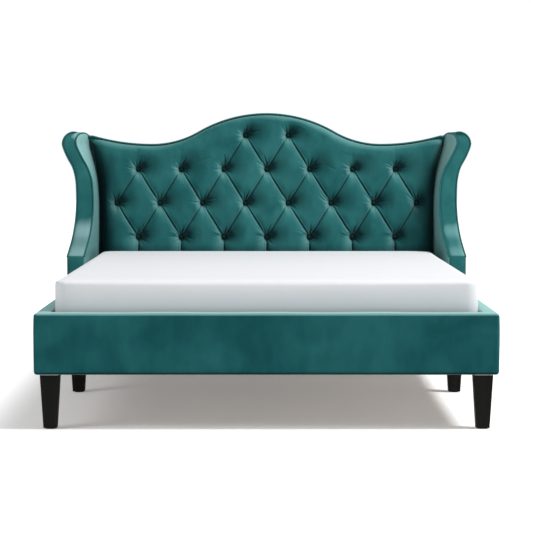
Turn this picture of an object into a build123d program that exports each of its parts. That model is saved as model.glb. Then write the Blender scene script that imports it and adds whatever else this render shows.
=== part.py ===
from build123d import *
import os
from math import cos, pi, sin, sqrt, tan

# A king-size wingback bed: a button-tufted headboard between two wings, a low padded frame on six tapered
# legs, a slatted base and a loose mattress. All lengths are in millimetres. X runs across the bed, Y from
# the foot to the head and Z up. The floor is at Z zero, and the origin lies on it under the middle of the
# bed. What the bed has in pairs is made for the right side, where X is above zero, and mirrored.

# Clearances between pieces that are stacked, sewn or drilled
rest_gap = 0.3
seam_gap = 0.4
hole_clearance = 0.2
cut_overrun = 5.0

# Mattress: a loose block of foam in a zipped cover
mattress_width = 1500.0
mattress_length = 2000.0
mattress_thickness = 200.0
mattress_rise = 110.0
mattress_corner_radius = 55.0
mattress_edge_radius = 24.0
mattress_cover_wall = 6.0
mattress_side_clearance = 5.0
mattress_foot_clearance = 7.0
mattress_head_clearance = 8.0

# Legs: square and tapered, on a screwed steel plate with a stud, and on a nylon glide
glide_thickness = 4.0
glide_radius = 17.0
glide_pin_radius = 3.0
glide_pin_length = 12.0
leg_height = 187.0
leg_top_width = 68.0
leg_foot_width = 47.0
leg_edge_radius = 3.0
leg_inset_side = 19.0
leg_inset_front = 20.0
mid_leg_setback = 1050.0
plate_width = 64.0
plate_thickness = 3.0
plate_stud_radius = 5.0
plate_stud_length = 45.0
leg_screw_spacing = 40.0
leg_screw_radius = 2.5
leg_screw_head_radius = 4.6
leg_screw_length = 33.0

# Padded frame: two side rails and a footboard, each a plank in a padded velvet cover
frame_height = 216.0
rail_thickness = 58.0
rail_core_thickness = 28.0
footboard_thickness = 63.0
footboard_core_thickness = 28.0
cover_top_padding = 14.0
cover_end_padding = 14.0
cover_edge_radius = 12.0
block_width = 54.0
block_length = 56.0
block_height = 40.0

# Slatted base
slat_count = 12
slat_width = 95.0
slat_thickness = 14.0
slat_edge_radius = 4.0
slat_end_clearance = 3.0
holder_floor = 3.0
holder_wall = 3.0
holder_length = 22.0
ledger_width = 25.0
ledger_height = 36.0
beam_width = 60.0
beam_height = 45.0
bearer_width = 66.0
hanger_wall = 3.0
hanger_depth = 50.0
hanger_ear = 26.0

# Steel corner brackets and all bolts
bracket_leg = 60.0
bracket_height = 56.0
bracket_thickness = 4.0
bracket_hole_offset = 34.0
bracket_hole_rise = 14.0
bracket_end_clearance = 5.0
bolt_radius = 4.0
bolt_head_radius = 7.5
bolt_head_height = 5.5
rail_bolt_length = 36.0
headboard_bolt_length = 58.0

# Headboard: drilled board on a timber frame, tufted pad in front, plain cover behind
pad_thickness = 55.0
pad_edge_radius = 28.0
pad_bottom_gap = 12.0
board_thickness = 15.0
post_depth = 45.0
post_inner = 698.0
post_outer = 810.0
post_top_margin = 12.0
back_cover_thickness = 4.0
border_thickness = 6.0
headboard_rail_width = 60.0
bottom_rail_width = 120.0
welt_radius = 4.0

# Headboard outline
headboard_half_width = 860.0
crest_height = 1142.0
dip_drop = 139.5
dip_offset = 520.0
crest_arc_share = 0.59
shoulder_drop = 95.0
corner_drop = 45.0

# Tufting: rows from the lowest up, each with its number of buttons
button_row_counts = (7, 8, 7, 2)
button_pitch_across = 195.0
first_row_rise = 160.0
top_row_drop = 97.1
button_radius = 12.0
button_height = 7.0
button_edge_radius = 3.0
pit_depth = 38.0
pit_floor_radius = 13.0
pit_mouth_radius = 56.0
pit_knee_share = 0.45
pit_spread_share = 0.26
pleat_half_width = 66.0
pleat_depth = 24.0
pleat_rim_rise = 2.0
tie_radius = 1.0
toggle_radius = 9.0
toggle_thickness = 3.0

# Wings: the places of the front edge at the arm, at the waist and at the flared top
arm_height = 506.0
wing_reach_arm = 298.0
wing_reach_top = 128.0
wing_inner_waist = 777.0
wing_outer_waist = 853.0
arm_splay = 30.0
inner_flare = 85.0
outer_flare = 65.0
wing_inner_rear = 762.0
inner_flare_start = 710.0
inner_flare_radius = 1190.0
horn_radius = 54.0
horn_rise = 13.0
horn_overrun = 6.0
horn_slope = 10.0
level_shares = (0, 0.06, 0.15, 0.26, 0.38, 0.51, 0.61, 0.70, 0.79, 0.88, 1)
reach_shares = (1, 0.844, 0.647, 0.375, 0.212, 0.147, 0.106, 0.065, 0.032, 0.006, 0)
arm_shares = (1, 0.72, 0.35, 0.12, 0, 0, 0, 0, 0, 0, 0)
inner_flare_shares = (0, 0, 0, 0, 0, 0.024, 0.098, 0.306, 0.635, 0.912, 1)
outer_flare_shares = (0, 0, 0, 0, 0, 0.003, 0.07, 0.27, 0.685, 0.99, 1)
inner_pad_thickness = 14.0
outer_cover_thickness = 10.0
facing_thickness = 12.0
wing_top_padding = 10.0
welt_standoff = 1.2
horn_welt_turns = 5
arc_run_share = 0.45
wing_bolt_shares = (0.324, 0.501, 0.754)
wing_bolt_bite = 45.0
wing_bolt_offset = 795.0

# Heights that follow
frame_bottom = glide_thickness + leg_height + plate_thickness
frame_top = frame_bottom + frame_height
mattress_top = frame_top + mattress_rise
mattress_bottom = mattress_top - mattress_thickness
slat_top = mattress_bottom - rest_gap
slat_bottom = slat_top - slat_thickness
ledger_top = slat_bottom - holder_floor
beam_bottom = slat_bottom - beam_height
pad_bottom = frame_top + pad_bottom_gap
bracket_bottom = ledger_top - bracket_height
dip_height = crest_height - dip_drop
shoulder_height = crest_height - shoulder_drop
horn_top = shoulder_height + horn_rise
wing_loft_top = horn_top + horn_overrun
first_row_height = pad_bottom + first_row_rise
button_pitch_up = (crest_height - top_row_drop - first_row_height) / (len(button_row_counts) - 1)
middle_rail_middle = first_row_height + button_pitch_up / 2
post_top = dip_height - border_thickness - post_top_margin
wing_bolt_heights = [frame_bottom + (post_top - frame_bottom) * share for share in wing_bolt_shares]

# Places across the bed
inner_half = mattress_width / 2 + mattress_side_clearance
outer_half = inner_half + rail_thickness
rail_core_inner = inner_half + (rail_thickness - rail_core_thickness) / 2
rail_core_outer = rail_core_inner + rail_core_thickness
leg_x = outer_half - leg_inset_side - leg_top_width / 2

# Places along the bed, from the footboard's front face to the back of the headboard
overall_length = (footboard_thickness + mattress_foot_clearance + mattress_length + mattress_head_clearance
                  + pad_thickness + board_thickness + post_depth + back_cover_thickness)
foot_y = -overall_length / 2
footboard_inner_y = foot_y + footboard_thickness
footboard_core_front = foot_y + (footboard_thickness - footboard_core_thickness) / 2
mattress_foot_y = footboard_inner_y + mattress_foot_clearance
mattress_head_y = mattress_foot_y + mattress_length
pad_front_y = mattress_head_y + mattress_head_clearance
board_front_y = pad_front_y + pad_thickness
board_back_y = board_front_y + board_thickness
post_back_y = board_back_y + post_depth
back_y = post_back_y + back_cover_thickness
front_leg_y = foot_y + leg_inset_front + leg_top_width / 2
mid_leg_y = foot_y + mid_leg_setback + leg_top_width / 2
head_leg_y = (board_front_y + post_back_y) / 2

pieces = {}


def block(low, high):
    """A box between its lowest and its highest corner."""
    sizes = [top - bottom for bottom, top in zip(low, high)]
    return Pos(*low) * Box(*sizes, align=(Align.MIN, Align.MIN, Align.MIN))


def rod(start, end, radius, end_radius=None):
    """A round rod, or a cone, between two points."""
    axis = Vector(*end) - Vector(*start)
    plane = Plane(origin=start, z_dir=axis)
    foot = (Align.CENTER, Align.CENTER, Align.MIN)
    if end_radius is None:
        return plane * Cylinder(radius, axis.length, align=foot)
    return plane * Cone(radius, end_radius, axis.length, align=foot)


def flat(parts):
    """A face inside lines and arcs that meet end to end."""
    return Face(Wire([part.edge() for part in parts]))


def along_y(face, start, end):
    """The solid that a face drawn at Y zero sweeps from one place along Y to another."""
    return Pos(0, start, 0) * Solid(extrude(face, end - start, dir=(0, 1, 0)).wrapped)


def mirrored(shape):
    """The same shape on the other side of the bed."""
    return mirror(shape, about=Plane.YZ)


def pair(name, right):
    """Keep a piece of the right side and its mirror image on the left."""
    pieces[name + "_right"] = right
    pieces[name + "_left"] = mirrored(right)


def both_sides(shapes):
    """The shapes and their mirror images, in one list."""
    return list(shapes) + [mirrored(shape) for shape in shapes]


def bolt(head_at, direction, length):
    """A bolt with its round head's underside at a point, and the hole that it needs."""
    start = Vector(*head_at)
    way = Vector(*direction)
    shank = rod(start, start + way * length, bolt_radius)
    head = rod(start - way * bolt_head_height, start, bolt_head_radius)
    hole = rod(start, start + way * (length + rest_gap), bolt_radius + hole_clearance)
    return shank + head, hole


def leg_places():
    """The middle of each right-hand leg's top, with the leg's name."""
    return {"front": front_leg_y, "mid": mid_leg_y, "head": head_leg_y}


def leg_screw_places():
    """Where the screws of the right-hand leg plates go up into the frame."""
    offsets = (-leg_screw_spacing / 2, leg_screw_spacing / 2)
    corners = [(across, along) for across in offsets for along in offsets]
    return [(leg_x + across, y + along) for y in leg_places().values() for across, along in corners]


def leg_screw_holes():
    """The holes for the leg screws above the plates, on the right-hand side."""
    top = frame_bottom + leg_screw_length + rest_gap
    return [rod((x, y, frame_bottom - cut_overrun), (x, y, top), leg_screw_radius + hole_clearance)
            for x, y in leg_screw_places()]


def frame_bolts():
    """The bolts of the right-hand corner brackets, each with its hole."""
    found = []
    foot_face = footboard_inner_y + bracket_thickness
    head_face = board_front_y - bracket_thickness
    for height in (bracket_bottom + bracket_hole_rise, bracket_bottom + bracket_height - bracket_hole_rise):
        across = inner_half - bracket_hole_offset
        found.append(bolt((across, foot_face, height), (0, -1, 0), rail_bolt_length))
        found.append(bolt((across, head_face, height), (0, 1, 0), headboard_bolt_length))
        for along in (footboard_inner_y + bracket_hole_offset, board_front_y - bracket_hole_offset):
            found.append(bolt((inner_half - bracket_thickness, along, height), (1, 0, 0), rail_bolt_length))
    return found


def hanger_bolts():
    """The bolts of the centre beam's two hangers, on the right-hand side, each with its hole."""
    across = (beam_width + hanger_ear) / 2 + hanger_wall
    height = beam_bottom + beam_height / 2
    foot = bolt((across, footboard_inner_y + hanger_wall, height), (0, -1, 0), rail_bolt_length)
    head = bolt((across, board_front_y - hanger_wall, height), (0, 1, 0), rail_bolt_length)
    return [foot, head]


def wing_bolts():
    """The bolts that hold the right wing, through the post and the board, each with its hole."""
    under_head = post_back_y - bolt_head_height
    length = under_head - board_front_y + wing_bolt_bite
    return [bolt((wing_bolt_offset, under_head, height), (0, -1, 0), length) for height in wing_bolt_heights]


def holes_of(bolts):
    """Only the holes, from a list of bolts with their holes."""
    return [hole for _, hole in bolts]


def wing_bolt_recesses():
    """The counterbores in which the wing bolts' heads sit, at the back of the post."""
    start = post_back_y - bolt_head_height
    return [rod((wing_bolt_offset, start, height), (wing_bolt_offset, post_back_y + cut_overrun, height),
                bolt_head_radius + hole_clearance) for height in wing_bolt_heights]


def inner_rear_offset(height):
    """How far from the middle the headboard pad meets the wing, at a given height."""
    above = max(0, height - inner_flare_start)
    return wing_inner_rear + inner_flare_radius - sqrt(inner_flare_radius ** 2 - above ** 2)


def shoulder_point():
    """The right shoulder of the headboard, where its top line meets the wing."""
    return Vector(inner_rear_offset(shoulder_height), 0, shoulder_height)


def make_mattress():
    """The foam core and its zipped cover, which lifts off the slats in one piece."""
    middle = Pos(0, (mattress_foot_y + mattress_head_y) / 2, mattress_bottom)
    base = (Align.CENTER, Align.CENTER, Align.MIN)

    def rounded(inset):
        sizes = [size - 2 * inset for size in (mattress_width, mattress_length, mattress_thickness)]
        body = Box(*sizes, align=base)
        body = fillet(body.edges().filter_by(Axis.Z), mattress_corner_radius - inset)
        rims = body.faces().sort_by(Axis.Z)[-1].edges() + body.faces().sort_by(Axis.Z)[0].edges()
        return middle * Pos(0, 0, inset) * fillet(rims, mattress_edge_radius - inset)

    pieces["mattress_cover"] = rounded(0) - rounded(mattress_cover_wall)
    pieces["mattress_core"] = rounded(mattress_cover_wall + rest_gap)


def make_legs():
    """Six tapered legs with their plates, studs, screws and glides."""
    plates, glides, screws = [], [], []
    leg_foot = glide_thickness
    leg_top = leg_foot + leg_height
    for name, y in leg_places().items():
        at = Pos(leg_x, y, 0)
        ends = [at * Pos(0, 0, height) * RectangleRounded(width, width, leg_edge_radius)
                for height, width in ((leg_foot, leg_foot_width), (leg_top, leg_top_width))]
        leg = loft([end.face() for end in ends], ruled=True)
        stud_foot = leg_top - plate_stud_length
        stud_room = plate_stud_radius + hole_clearance
        leg -= rod((leg_x, y, stud_foot - rest_gap), (leg_x, y, leg_top + cut_overrun), stud_room)
        pin_top = leg_foot + glide_pin_length
        leg -= rod((leg_x, y, 0), (leg_x, y, pin_top + rest_gap), glide_pin_radius + hole_clearance)
        pair("leg_" + name, leg)
        glides.append(rod((leg_x, y, 0), (leg_x, y, leg_foot), glide_radius)
                      + rod((leg_x, y, 0), (leg_x, y, pin_top), glide_pin_radius))
        half = plate_width / 2
        plate = block((leg_x - half, y - half, leg_top), (leg_x + half, y + half, frame_bottom))
        plates.append(plate + rod((leg_x, y, stud_foot), (leg_x, y, frame_bottom), plate_stud_radius))
    for x, y in leg_screw_places():
        head = rod((x, y, leg_top), (x, y, frame_bottom), leg_screw_head_radius, leg_screw_radius)
        screws.append(head + rod((x, y, leg_top), (x, y, frame_bottom + leg_screw_length), leg_screw_radius))
    sinks = [rod((x, y, leg_top), (x, y, frame_bottom), leg_screw_head_radius + hole_clearance,
                 leg_screw_radius + hole_clearance) for x, y in leg_screw_places()]
    plates = [plate - sinks for plate in plates]
    pieces["leg_plates"] = Compound(both_sides(plates))
    pieces["leg_screws"] = Compound(both_sides(screws))
    pieces["leg_glides"] = Compound(both_sides(glides))


def make_side_rails():
    """A plank and its padded cover, which is open below, for each side."""
    core = block((rail_core_inner, footboard_inner_y, frame_bottom),
                 (rail_core_outer, board_front_y, frame_top - cover_top_padding))
    holes = leg_screw_holes() + holes_of(frame_bolts())
    cover = block((inner_half, footboard_inner_y, frame_bottom), (outer_half, board_front_y, frame_top))
    cover = fillet(cover.edges().filter_by(Axis.Y), cover_edge_radius)
    pocket_low = (rail_core_inner, footboard_inner_y - cut_overrun, frame_bottom - cut_overrun)
    pocket_high = (rail_core_outer, board_front_y + cut_overrun, frame_top - cover_top_padding)
    pair("side_rail_core", core - holes)
    pair("side_rail_cover", cover - block(pocket_low, pocket_high) - holes)


def make_footboard():
    """The plank across the foot and its padded cover, which is open below."""
    half = outer_half - cover_end_padding
    low = (-half, footboard_core_front, frame_bottom)
    high = (half, footboard_core_front + footboard_core_thickness, frame_top - cover_top_padding)
    holes = both_sides(leg_screw_holes() + holes_of(frame_bolts()) + holes_of(hanger_bolts()))
    cover = block((-outer_half, foot_y, frame_bottom), (outer_half, footboard_inner_y, frame_top))
    cover = fillet(cover.edges(), cover_edge_radius)
    pocket = block((low[0], low[1], low[2] - cut_overrun), high)
    pieces["footboard_core"] = block(low, high) - holes
    pieces["footboard_cover"] = cover - pocket - holes


def make_corner_hardware():
    """Corner blocks at the foot, steel corner brackets, and every bolt."""
    corner = block((inner_half - block_width, footboard_inner_y, frame_bottom),
                   (inner_half, footboard_inner_y + block_length, frame_bottom + block_height))
    pieces["corner_blocks"] = Compound(both_sides([corner - leg_screw_holes()]))
    top = bracket_bottom + bracket_height
    brackets = []
    for face, way in ((footboard_inner_y, 1), (board_front_y, -1)):
        far, near = face + way * bracket_leg, face + way * bracket_thickness
        on_rail, on_end = [block((inner_half - width, min(face, end), bracket_bottom),
                                 (inner_half, max(face, end), top))
                           for width, end in ((bracket_thickness, far), (bracket_leg, near))]
        brackets.append(on_rail + on_end - holes_of(frame_bolts()))
    pieces["corner_brackets"] = Compound(both_sides(brackets))
    bolts = [shape for shape, _ in frame_bolts() + hanger_bolts() + wing_bolts()]
    pieces["bed_bolts"] = Compound(both_sides(bolts))


def make_slatted_base():
    """Ledgers, a centre beam in two hangers, a cross bearer, and slats in holders on the ledgers."""
    margin = bracket_leg + bracket_end_clearance
    ledger_foot, ledger_head = footboard_inner_y + margin, board_front_y - margin
    pair("ledger", block((inner_half - ledger_width, ledger_foot, ledger_top - ledger_height),
                         (inner_half, ledger_head, ledger_top)))
    half_beam = beam_width / 2
    pieces["centre_beam"] = block((-half_beam, footboard_inner_y + hanger_wall, beam_bottom),
                                  (half_beam, board_front_y - hanger_wall, slat_bottom))
    half_bearer = bearer_width / 2
    bearer = block((-inner_half, mid_leg_y - half_bearer, frame_bottom),
                   (inner_half, mid_leg_y + half_bearer, beam_bottom))
    pieces["cross_bearer"] = bearer - both_sides(leg_screw_holes())
    hangers = []
    for face, way in ((footboard_inner_y, 1), (board_front_y, -1)):
        reach, wall = face + way * hanger_depth, face + way * hanger_wall
        half_width = half_beam + hanger_wall
        near, far = min(face, reach), max(face, reach)
        shelf = block((-half_width, near, beam_bottom - hanger_wall), (half_width, far, slat_bottom))
        shelf -= block((-half_beam, min(wall, reach), beam_bottom), (half_beam, max(wall, reach), slat_top))
        plate_half = half_width + hanger_ear
        plate = block((-plate_half, min(face, wall), beam_bottom), (plate_half, max(face, wall), slat_bottom))
        hangers.append(shelf + plate - both_sides(holes_of(hanger_bolts())))
    pieces["beam_hangers"] = Compound(hangers)
    slat_end = inner_half - slat_end_clearance - rest_gap
    first = ledger_foot + slat_width / 2 + holder_wall
    last = ledger_head - slat_width / 2 - holder_wall
    holders = []
    for index in range(slat_count):
        y = first + (last - first) * index / (slat_count - 1)
        low = (-slat_end, y - slat_width / 2, slat_bottom)
        slat = block(low, (slat_end, y + slat_width / 2, slat_top))
        slat = fillet(slat.edges().filter_by(Axis.X), slat_edge_radius)
        pieces[f"slat_{index + 1:02d}"] = slat
        half_width, holder_start = slat_width / 2 + holder_wall, inner_half - holder_length
        holder = block((holder_start, y - half_width, ledger_top), (inner_half, y + half_width, slat_top))
        room = slat_width / 2 + rest_gap
        holder -= block((0, y - room, slat_bottom), (slat_end + rest_gap, y + room, slat_top + cut_overrun))
        holders.append(holder)
    pieces["slat_end_holders"] = Compound(both_sides(holders))


def top_edges():
    """The right half of the headboard's top line: over the crest, through the dip and up to the shoulder."""
    crest, dip = Vector(0, 0, crest_height), Vector(dip_offset, 0, dip_height)
    turn = crest + (dip - crest) * crest_arc_share
    return [TangentArc(crest, turn, tangent=(1, 0, 0)), TangentArc(dip, turn, tangent=(-1, 0, 0)),
            TangentArc(dip, shoulder_point(), tangent=(1, 0, 0))]


def headboard_outline(bottom):
    """The headboard's whole outline, down to a given height."""
    corner = Vector(headboard_half_width, 0, shoulder_height - corner_drop)
    foot = Vector(headboard_half_width, 0, bottom)
    right = top_edges() + [TangentArc(shoulder_point(), corner, tangent=(1, 0, 0)), Line(corner, foot),
                           Line(foot, Vector(0, 0, bottom))]
    return flat(right + [mirrored(part) for part in right])


def inset_outline(inset):
    """The headboard's outline drawn in on its top and sides."""
    return offset(headboard_outline(frame_bottom - inset), amount=-inset).face()


def button_places():
    """The buttons, row by row, as places across and heights."""
    rows = []
    for row, count in enumerate(button_row_counts):
        height = first_row_height + row * button_pitch_up
        rows.append([((index - (count - 1) / 2) * button_pitch_across, height) for index in range(count)])
    return rows


def pleats():
    """The two ends of each pleat: from a button to its neighbours above, and down from the lowest row."""
    rows = button_places()
    joined = []
    for lower, upper in zip(rows, rows[1:]):
        near = button_pitch_across / 2 + seam_gap
        joined += [(low, high) for low in lower for high in upper if abs(low[0] - high[0]) < near]
    return joined + [(place, (place[0], pad_bottom - cut_overrun)) for place in rows[0]]


def pleat_cutter(start, end):
    """The furrow along one pleat: two round pillow sides that meet in a crease."""
    way = Vector(end[0] - start[0], 0, end[1] - start[1])
    overrun = way.normalized() * cut_overrun
    origin = Vector(start[0], pad_front_y, start[1]) - overrun
    plane = Plane(origin=origin, x_dir=(0, 1, 0), z_dir=way)
    left, right = Vector(-pleat_rim_rise, -pleat_half_width), Vector(-pleat_rim_rise, pleat_half_width)
    out_left, out_right = Vector(-cut_overrun, left.Y), Vector(-cut_overrun, right.Y)
    crease = Vector(pleat_depth, 0)
    section = flat([TangentArc(left, crease, tangent=(0, 1)), TangentArc(right, crease, tangent=(0, -1)),
                    Line(right, out_right), Line(out_right, out_left), Line(out_left, left)])
    return extrude(plane * section, (way + overrun * 2).length, dir=way)


def pit_cutters(x, z):
    """The hollow in which a button sits: steep round the button, then wide between the pillows."""
    mouth, way = Vector(x, pad_front_y, z), Vector(0, 1, 0)
    knee, floor = mouth + way * (pit_depth * pit_knee_share), mouth + way * pit_depth
    knee_radius = pit_floor_radius + (pit_mouth_radius - pit_floor_radius) * pit_spread_share
    widening = (pit_mouth_radius - knee_radius) * cut_overrun / (knee - mouth).length
    return [rod(mouth - way * cut_overrun, knee, pit_mouth_radius + widening, knee_radius),
            rod(knee, floor, knee_radius, pit_floor_radius)]


def space_between_wings():
    """The region that the headboard pad fills from wing to wing, above the frame."""
    half = wing_inner_rear - seam_gap
    low, bend = Vector(half, 0, pad_bottom), Vector(half, 0, inner_flare_start)
    top = Vector(inner_rear_offset(wing_loft_top) - seam_gap, 0, wing_loft_top)
    over = Vector(top.X, 0, crest_height + cut_overrun)
    right = [Line(Vector(0, 0, pad_bottom), low), Line(low, bend), TangentArc(bend, top, tangent=(0, 0, 1)),
             Line(top, over), Line(over, Vector(0, 0, over.Z))]
    return flat(right + [mirrored(part) for part in right])


def make_tufted_pad():
    """The headboard's velvet pad, drawn in at every pleat and button, with its buttons and their ties."""
    pad = along_y(inset_outline(border_thickness), pad_front_y, board_front_y)
    pad &= along_y(space_between_wings(), pad_front_y - cut_overrun, board_front_y + cut_overrun)
    pad = fillet(pad.faces().sort_by(Axis.Y)[0].edges(), pad_edge_radius)
    pad -= [pleat_cutter(start, end) for start, end in pleats()]
    floor = pad_front_y + pit_depth
    way_radius = tie_radius + hole_clearance
    pits, ties, buttons, ways = [], [], [], []
    for x, z in [place for row in button_places() for place in row]:
        pits += pit_cutters(x, z)
        button = rod((x, floor, z), (x, floor - button_height, z), button_radius)
        buttons.append(fillet(button.faces().sort_by(Axis.Y)[0].edges(), button_edge_radius))
        toggle = rod((x, board_back_y, z), (x, board_back_y + toggle_thickness, z), toggle_radius)
        ties.append(rod((x, floor, z), (x, board_back_y, z), tie_radius) + toggle)
        ways.append(rod((x, floor - cut_overrun, z), (x, board_back_y + cut_overrun, z), way_radius))
    pieces["tufted_pad"] = pad - pits - ways
    pieces["tuft_buttons"] = Compound(buttons)
    pieces["tuft_ties"] = Compound(ties)
    return ways


def make_headboard(tie_ways):
    """The drilled board, the timber frame behind it, the border round its edge and the plain back cover."""
    board = along_y(inset_outline(border_thickness), board_front_y, board_back_y)
    foot_low = (post_inner, board_front_y, frame_bottom)
    foot_high = (post_outer, board_back_y, frame_top)
    post_foot = block(foot_low, foot_high)
    board -= [post_foot, mirrored(post_foot)]
    drilled = holes_of(frame_bolts()) + holes_of(hanger_bolts()) + holes_of(wing_bolts()) + leg_screw_holes()
    pieces["headboard_board"] = board - tie_ways - both_sides(drilled)
    post = post_foot + block((post_inner, board_back_y, frame_bottom), (post_outer, post_back_y, post_top))
    pair("headboard_post", post - drilled - wing_bolt_recesses())
    half_rail = headboard_rail_width / 2
    heights = {"top": (post_top - headboard_rail_width, post_top),
               "middle": (middle_rail_middle - half_rail, middle_rail_middle + half_rail),
               "bottom": (frame_bottom, frame_bottom + bottom_rail_width)}
    for name, (low, high) in heights.items():
        rail = block((-post_inner, board_back_y, low), (post_inner, post_back_y, high))
        pieces[f"headboard_{name}_rail"] = rail - both_sides(holes_of(hanger_bolts()))
    outline = headboard_outline(frame_bottom)
    ring = along_y(outline, board_front_y, post_back_y)
    ring -= along_y(inset_outline(border_thickness), board_front_y - cut_overrun, post_back_y + cut_overrun)
    welt_y = pad_front_y + pad_edge_radius
    over_pad = along_y(outline, welt_y + welt_radius, board_front_y)
    over_pad -= along_y(inset_outline(border_thickness), pad_front_y, board_front_y + cut_overrun)
    reach = inner_rear_offset(shoulder_height - border_thickness) - seam_gap
    over_pad &= block((-reach, pad_front_y, dip_height - corner_drop),
                      (reach, post_back_y, crest_height + cut_overrun))
    pieces["headboard_border"] = ring + over_pad
    pieces["headboard_back_cover"] = along_y(outline, post_back_y, back_y)
    lift = Pos(0, welt_y, 0)
    line = top_edges() + [mirrored(part) for part in top_edges()]
    path = Wire([lift * part.edge() for part in line])
    section = Plane(origin=path @ 0, z_dir=path % 0) * Circle(welt_radius)
    pieces["headboard_welt"] = sweep(section, path=path)


def wing_level(index):
    """The corners of the right wing at one level: front inner, front outer, rear outer and rear inner."""
    height = arm_height + level_shares[index] * (wing_loft_top - arm_height)
    reach = wing_reach_top + reach_shares[index] * (wing_reach_arm - wing_reach_top)
    splay = arm_shares[index] * arm_splay
    inner = wing_inner_waist + splay + inner_flare_shares[index] * inner_flare
    outer = wing_outer_waist + splay + outer_flare_shares[index] * outer_flare
    front = board_front_y - reach
    return [Vector(inner, front, height), Vector(outer, front, height),
            Vector(headboard_half_width, board_front_y, height),
            Vector(inner_rear_offset(height), board_front_y, height)]


def horn_rim(angle, inset):
    """A point on the round top of the horn, seen from the front and drawn in by an inset."""
    radius = horn_radius - inset
    centre = Vector(wing_outer_waist + outer_flare - horn_radius, 0, horn_top - horn_radius)
    return centre + Vector(radius * cos(angle), 0, radius * sin(angle))


def horn_region(inset):
    """The wing's outline seen from the front, rounded over its flared top, and drawn in by an inset."""
    lean = horn_slope * pi / 180
    start, middle, end = [horn_rim(share * (pi / 2 + lean), inset) for share in (0, 1 / 2, 1)]
    far_x = post_inner
    far = Vector(far_x, 0, end.Z - (end.X - far_x) * tan(lean))
    low = frame_bottom - cut_overrun
    reach = start.X + inset + cut_overrun
    outer_low, outer_high = Vector(reach, 0, low), Vector(reach, 0, arm_height)
    low_far = Vector(far_x, 0, low)
    waist = Vector(start.X, 0, arm_height)
    return flat([ThreePointArc(start, middle, end), Line(end, far), Line(far, low_far),
                 Line(low_far, outer_low), Line(outer_low, outer_high), Line(outer_high, waist),
                 Line(waist, start)])


def behind_front(levels, depth):
    """Everything that lies further back than a depth behind the wing's front, from side to side."""
    front = [Vector(post_inner, level[0].Y + depth, level[0].Z) for level in levels]
    low, high = frame_bottom - cut_overrun, wing_loft_top + cut_overrun
    back = board_front_y + cut_overrun
    foot, top = Vector(post_inner, front[0].Y, low), Vector(post_inner, front[-1].Y, high)
    rear_top, rear_foot = Vector(post_inner, back, high), Vector(post_inner, back, low)
    side = flat([Spline(*front), Line(front[-1], top), Line(top, rear_top), Line(rear_top, rear_foot),
                 Line(rear_foot, foot), Line(foot, front[0])])
    return extrude(side, wing_outer_waist + outer_flare + cut_overrun - post_inner, dir=(1, 0, 0))


def tube(points, radius):
    """A round cord along points, with arcs as large as the runs beside each turn allow."""
    radii = []
    for before, at, after in zip(points, points[1:], points[2:]):
        turn = (at - before).get_angle(after - at) * pi / 180
        radii.append(arc_run_share * min((at - before).length, (after - at).length) / tan(turn / 2))
    path = FilletPolyline(*points, radius=radii)
    return sweep(Plane(origin=path @ 0, z_dir=path % 0) * Circle(radius), path=path)


def wing_welt_points(levels):
    """The middles of the inner and of the outer welt on the facing, from the arm up to the horn's top."""
    away = welt_radius + welt_standoff
    paths = {0: [], 1: []}
    inner_side = [level for level in levels if level[0].Z < horn_top - wing_top_padding]
    for index, level in enumerate(inner_side):
        before, after = levels[max(0, index - 1)], levels[index + 1]
        slope = Vector(0, before[0].Z - after[0].Z, after[0].Y - before[0].Y).normalized()
        for corner, path in paths.items():
            path.append(level[corner] + slope * away)
    front = paths[1][-1].Y
    for step in range(1, horn_welt_turns):
        rim = horn_rim(step / horn_welt_turns * (pi / 2 + horn_slope * pi / 180), welt_radius)
        paths[1].append(Vector(rim.X, front, rim.Z))
    return paths


def make_wings():
    """Each wing: a core, a padded inner face, a facing over front and top, an outer cover and two welts."""
    levels = [wing_level(index) for index in range(len(level_shares))]
    upper = loft([Face(Wire.make_polygon(level, close=True)) for level in levels])
    arm = Face(Wire.make_polygon(levels[0], close=True))
    envelope = upper + extrude(arm, arm_height - frame_bottom, dir=(0, 0, -1))
    back = board_front_y + cut_overrun
    front = board_front_y - wing_reach_arm - cut_overrun

    def moved(across):
        return Pos(across, 0, 0) * envelope

    def filling(gap):
        room = envelope & behind_front(levels, facing_thickness + gap)
        return room & along_y(horn_region(wing_top_padding + gap), front, back)

    notch = block((post_inner, front, frame_bottom - cut_overrun),
                  (outer_half + seam_gap, back, frame_top + seam_gap))
    facing = (envelope & along_y(horn_region(0), front, back)) - filling(0)
    inside = filling(seam_gap)
    core = inside & moved(inner_pad_thickness + seam_gap) & moved(-outer_cover_thickness - seam_gap)
    pair("wing_facing", facing - notch)
    pair("wing_inner_pad", inside - moved(inner_pad_thickness) - notch)
    pair("wing_outer_cover", inside - moved(-outer_cover_thickness) - notch)
    pair("wing_core", core - notch - holes_of(wing_bolts()))
    welts = [tube(points, welt_radius) for points in wing_welt_points(levels).values()]
    pair("wing_welts", Compound(welts))


make_mattress()
make_legs()
make_side_rails()
make_footboard()
make_corner_hardware()
make_slatted_base()
tie_ways = make_tufted_pad()
make_headboard(tie_ways)
make_wings()

os.makedirs("parts", exist_ok=True)
for name, shape in pieces.items():
    export_step(shape, f"parts/{name}.step")
print(len(pieces), "pieces")
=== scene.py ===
# %% [markdown]
# # A wingback bed in teal velvet
#
# The bed has a deep-buttoned headboard with a camel-back top, two wings, a low padded frame on tapered legs,
# slats and a loose mattress. The hard pieces come from the frame as they are and only get a finish. The
# upholstery is modelled here, round the same sizes, because padding and cloth are what the eye reads first.

# %% Load the frame
from math import atan, cos, pi, radians, sin

import bpy
import numpy as np
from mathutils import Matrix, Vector
from mathutils.bvhtree import BVHTree


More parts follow.
